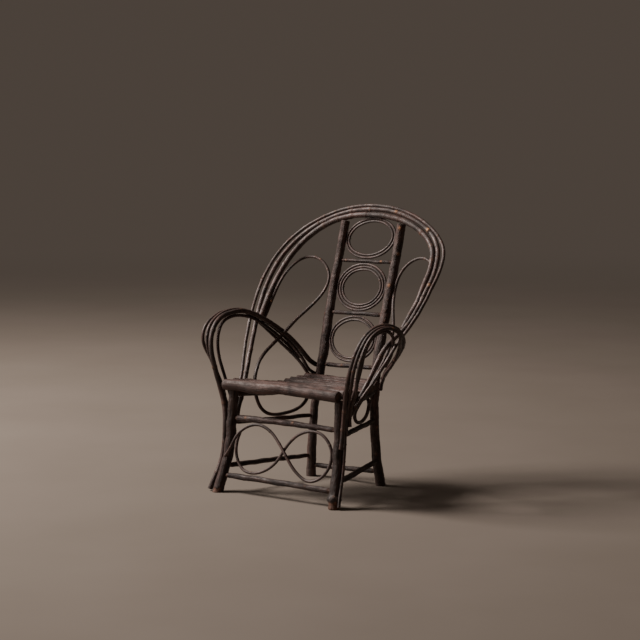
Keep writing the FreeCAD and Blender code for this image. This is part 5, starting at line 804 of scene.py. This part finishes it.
for name, (r, points) in CANES.items():
    every = 105 if r > 5.5 else 90
    taper = 0.05 if r > 5 else 0.04
    n = len(points)
    kw = dict(wear=0.15, wear_and_top_light=0.15, tone=0.0)
    if name.startswith("arm"):
        kw = dict(wear=0.12, wear_and_top_light=0.3, tone=-0.02)
    if name.startswith("hoop"):
        kw = dict(wear=0.2, wear_and_top_light=0.1, tone=0.03)
    t = np.linspace(0, 1, n)
    R = r * (1 + taper * (0.5 - t))
    if name == "hoop_cane_inner":
        R = R * (1 - 0.08 * np.abs(2 * t - 1) ** 2.5)
    if name.startswith("back_ring"):
        R = np.full(n, r * 1.1)
    if name.startswith("hoop"):
        R = R * {"hoop_cane_outer": 1.06, "hoop_cane_middle": 1.15, "hoop_cane_inner": 1.14}[name]
    if name.startswith("front_figure"):
        R = R * 1.24
    if name.startswith("side_scroll"):
        # the thick end of the cane is the lower one
        R = R * (1.36 - 0.26 * smooth(np.array(points, float)[:, 2], 480, 860))
    stick("v_" + name, (name,), "cane_bark", CANE, points, list(R), seg(r), along(r), lumps=0.03, ridges=0.010, wander=0.25,
          nodes_every=every, knots=KNOTS.get(name, ()), round_end=(0.8, 0.8), **kw)

# ------------------------------------------------------------------ floor, light, camera
def plain(name, a, b, scale, rough):
    m = bpy.data.materials.new(name)
    m.use_nodes = True
    nt = m.node_tree
    bs = nt.nodes["Principled BSDF"]
    tc = nt.nodes.new("ShaderNodeTexCoord")
    n = nt.nodes.new("ShaderNodeTexNoise")
    n.inputs["Scale"].default_value = scale
    n.inputs["Detail"].default_value = 5
    nt.links.new(tc.outputs["Object"], n.inputs["Vector"])
    r = nt.nodes.new("ShaderNodeValToRGB")
    r.color_ramp.elements[0].position = 0.3
    r.color_ramp.elements[0].color = (*a, 1)
    r.color_ramp.elements[1].position = 0.7
    r.color_ramp.elements[1].color = (*b, 1)
    nt.links.new(n.outputs["Fac"], r.inputs[0])
    nt.links.new(r.outputs[0], bs.inputs["Base Color"])
    bs.inputs["Roughness"].default_value = rough
    bs.inputs["Specular IOR Level"].default_value = 0.15
    return m


BACKGROUND = (0.078, 0.062, 0.050)

bpy.ops.mesh.primitive_plane_add(size=900, location=(0, 0, 0))
floor = bpy.context.object
floor.name = "floor"
pale = plain("floor_pale", (0.192, 0.164, 0.139), (0.211, 0.181, 0.155), 1.3, 0.85)
# far away the floor melts into the background
nt = pale.node_tree
tc = nt.nodes["Texture Coordinate"]
ln = nt.nodes.new("ShaderNodeVectorMath")
ln.operation = "LENGTH"
nt.links.new(tc.outputs["Object"], ln.inputs[0])
far = nt.nodes.new("ShaderNodeMapRange")
far.interpolation_type = "SMOOTHSTEP"
far.inputs["From Min"].default_value = 2.5
far.inputs["From Max"].default_value = 11.0
nt.links.new(ln.outputs["Value"], far.inputs["Value"])
glow = nt.nodes.new("ShaderNodeEmission")
glow.inputs["Color"].default_value = (*BACKGROUND, 1)
glow.inputs["Strength"].default_value = 1.0
ms = nt.nodes.new("ShaderNodeMixShader")
nt.links.new(far.outputs["Result"], ms.inputs[0])
nt.links.new(nt.nodes["Principled BSDF"].outputs[0], ms.inputs[1])
nt.links.new(glow.outputs[0], ms.inputs[2])
nt.links.new(ms.outputs[0], nt.nodes["Material Output"].inputs[0])
floor.data.materials.append(pale)

world = bpy.data.worlds.new("room")
bpy.context.scene.world = world
world.use_nodes = True
bg = world.node_tree.nodes["Background"]
bg.inputs[0].default_value = (*BACKGROUND, 1)
bg.inputs[1].default_value = 1.0


def area(name, place, aim, size, power, colour):
    d = bpy.data.lights.new(name, "AREA")
    d.shape = "DISK"
    d.size = size
    d.energy = power
    d.color = colour
    o = bpy.data.objects.new(name, d)
    bpy.context.scene.collection.objects.link(o)
    z = np.array(place, float) - np.array(aim, float)
    z /= np.linalg.norm(z)
    x = np.cross([0, 0, 1.0], z)
    x /= np.linalg.norm(x)
    y = np.cross(z, x)
    o.matrix_world = Matrix([[x[0], y[0], z[0], place[0]], [x[1], y[1], z[1], place[1]], [x[2], y[2], z[2], place[2]], [0, 0, 0, 1]])
    return o


area("key", (-4.95, -2.0, 5.35), (0, 0, 0.5), 2.6, 830, (1.0, 0.905, 0.84))
area("side", (-5.2, -4.6, 2.4), (0, 0, 0.6), 1.4, 150, (1.0, 0.90, 0.84))

az, el = math.radians(35.63594), math.radians(6.83704)
right = np.array([math.cos(az), math.sin(az), 0])
back = np.array([math.sin(az) * math.cos(el), -math.cos(az) * math.cos(el), math.sin(el)])
up = np.cross(back, right)
target = np.array([0.0646695 + SHIFT[0], 0.20 + SHIFT[1], 0.6605646])
place = target + back * 7.483974
cam_data = bpy.data.cameras.new("camera")
cam_data.sensor_width = 36.0
cam_data.lens = 36.0 * 2000.006 / 640.0
cam_data.clip_end = 60
cam = bpy.data.objects.new("camera", cam_data)
bpy.context.scene.collection.objects.link(cam)
cam.matrix_world = Matrix([[right[0], up[0], back[0], place[0]], [right[1], up[1], back[1], place[1]], [right[2], up[2], back[2], place[2]], [0, 0, 0, 1]])
bpy.context.scene.camera = cam
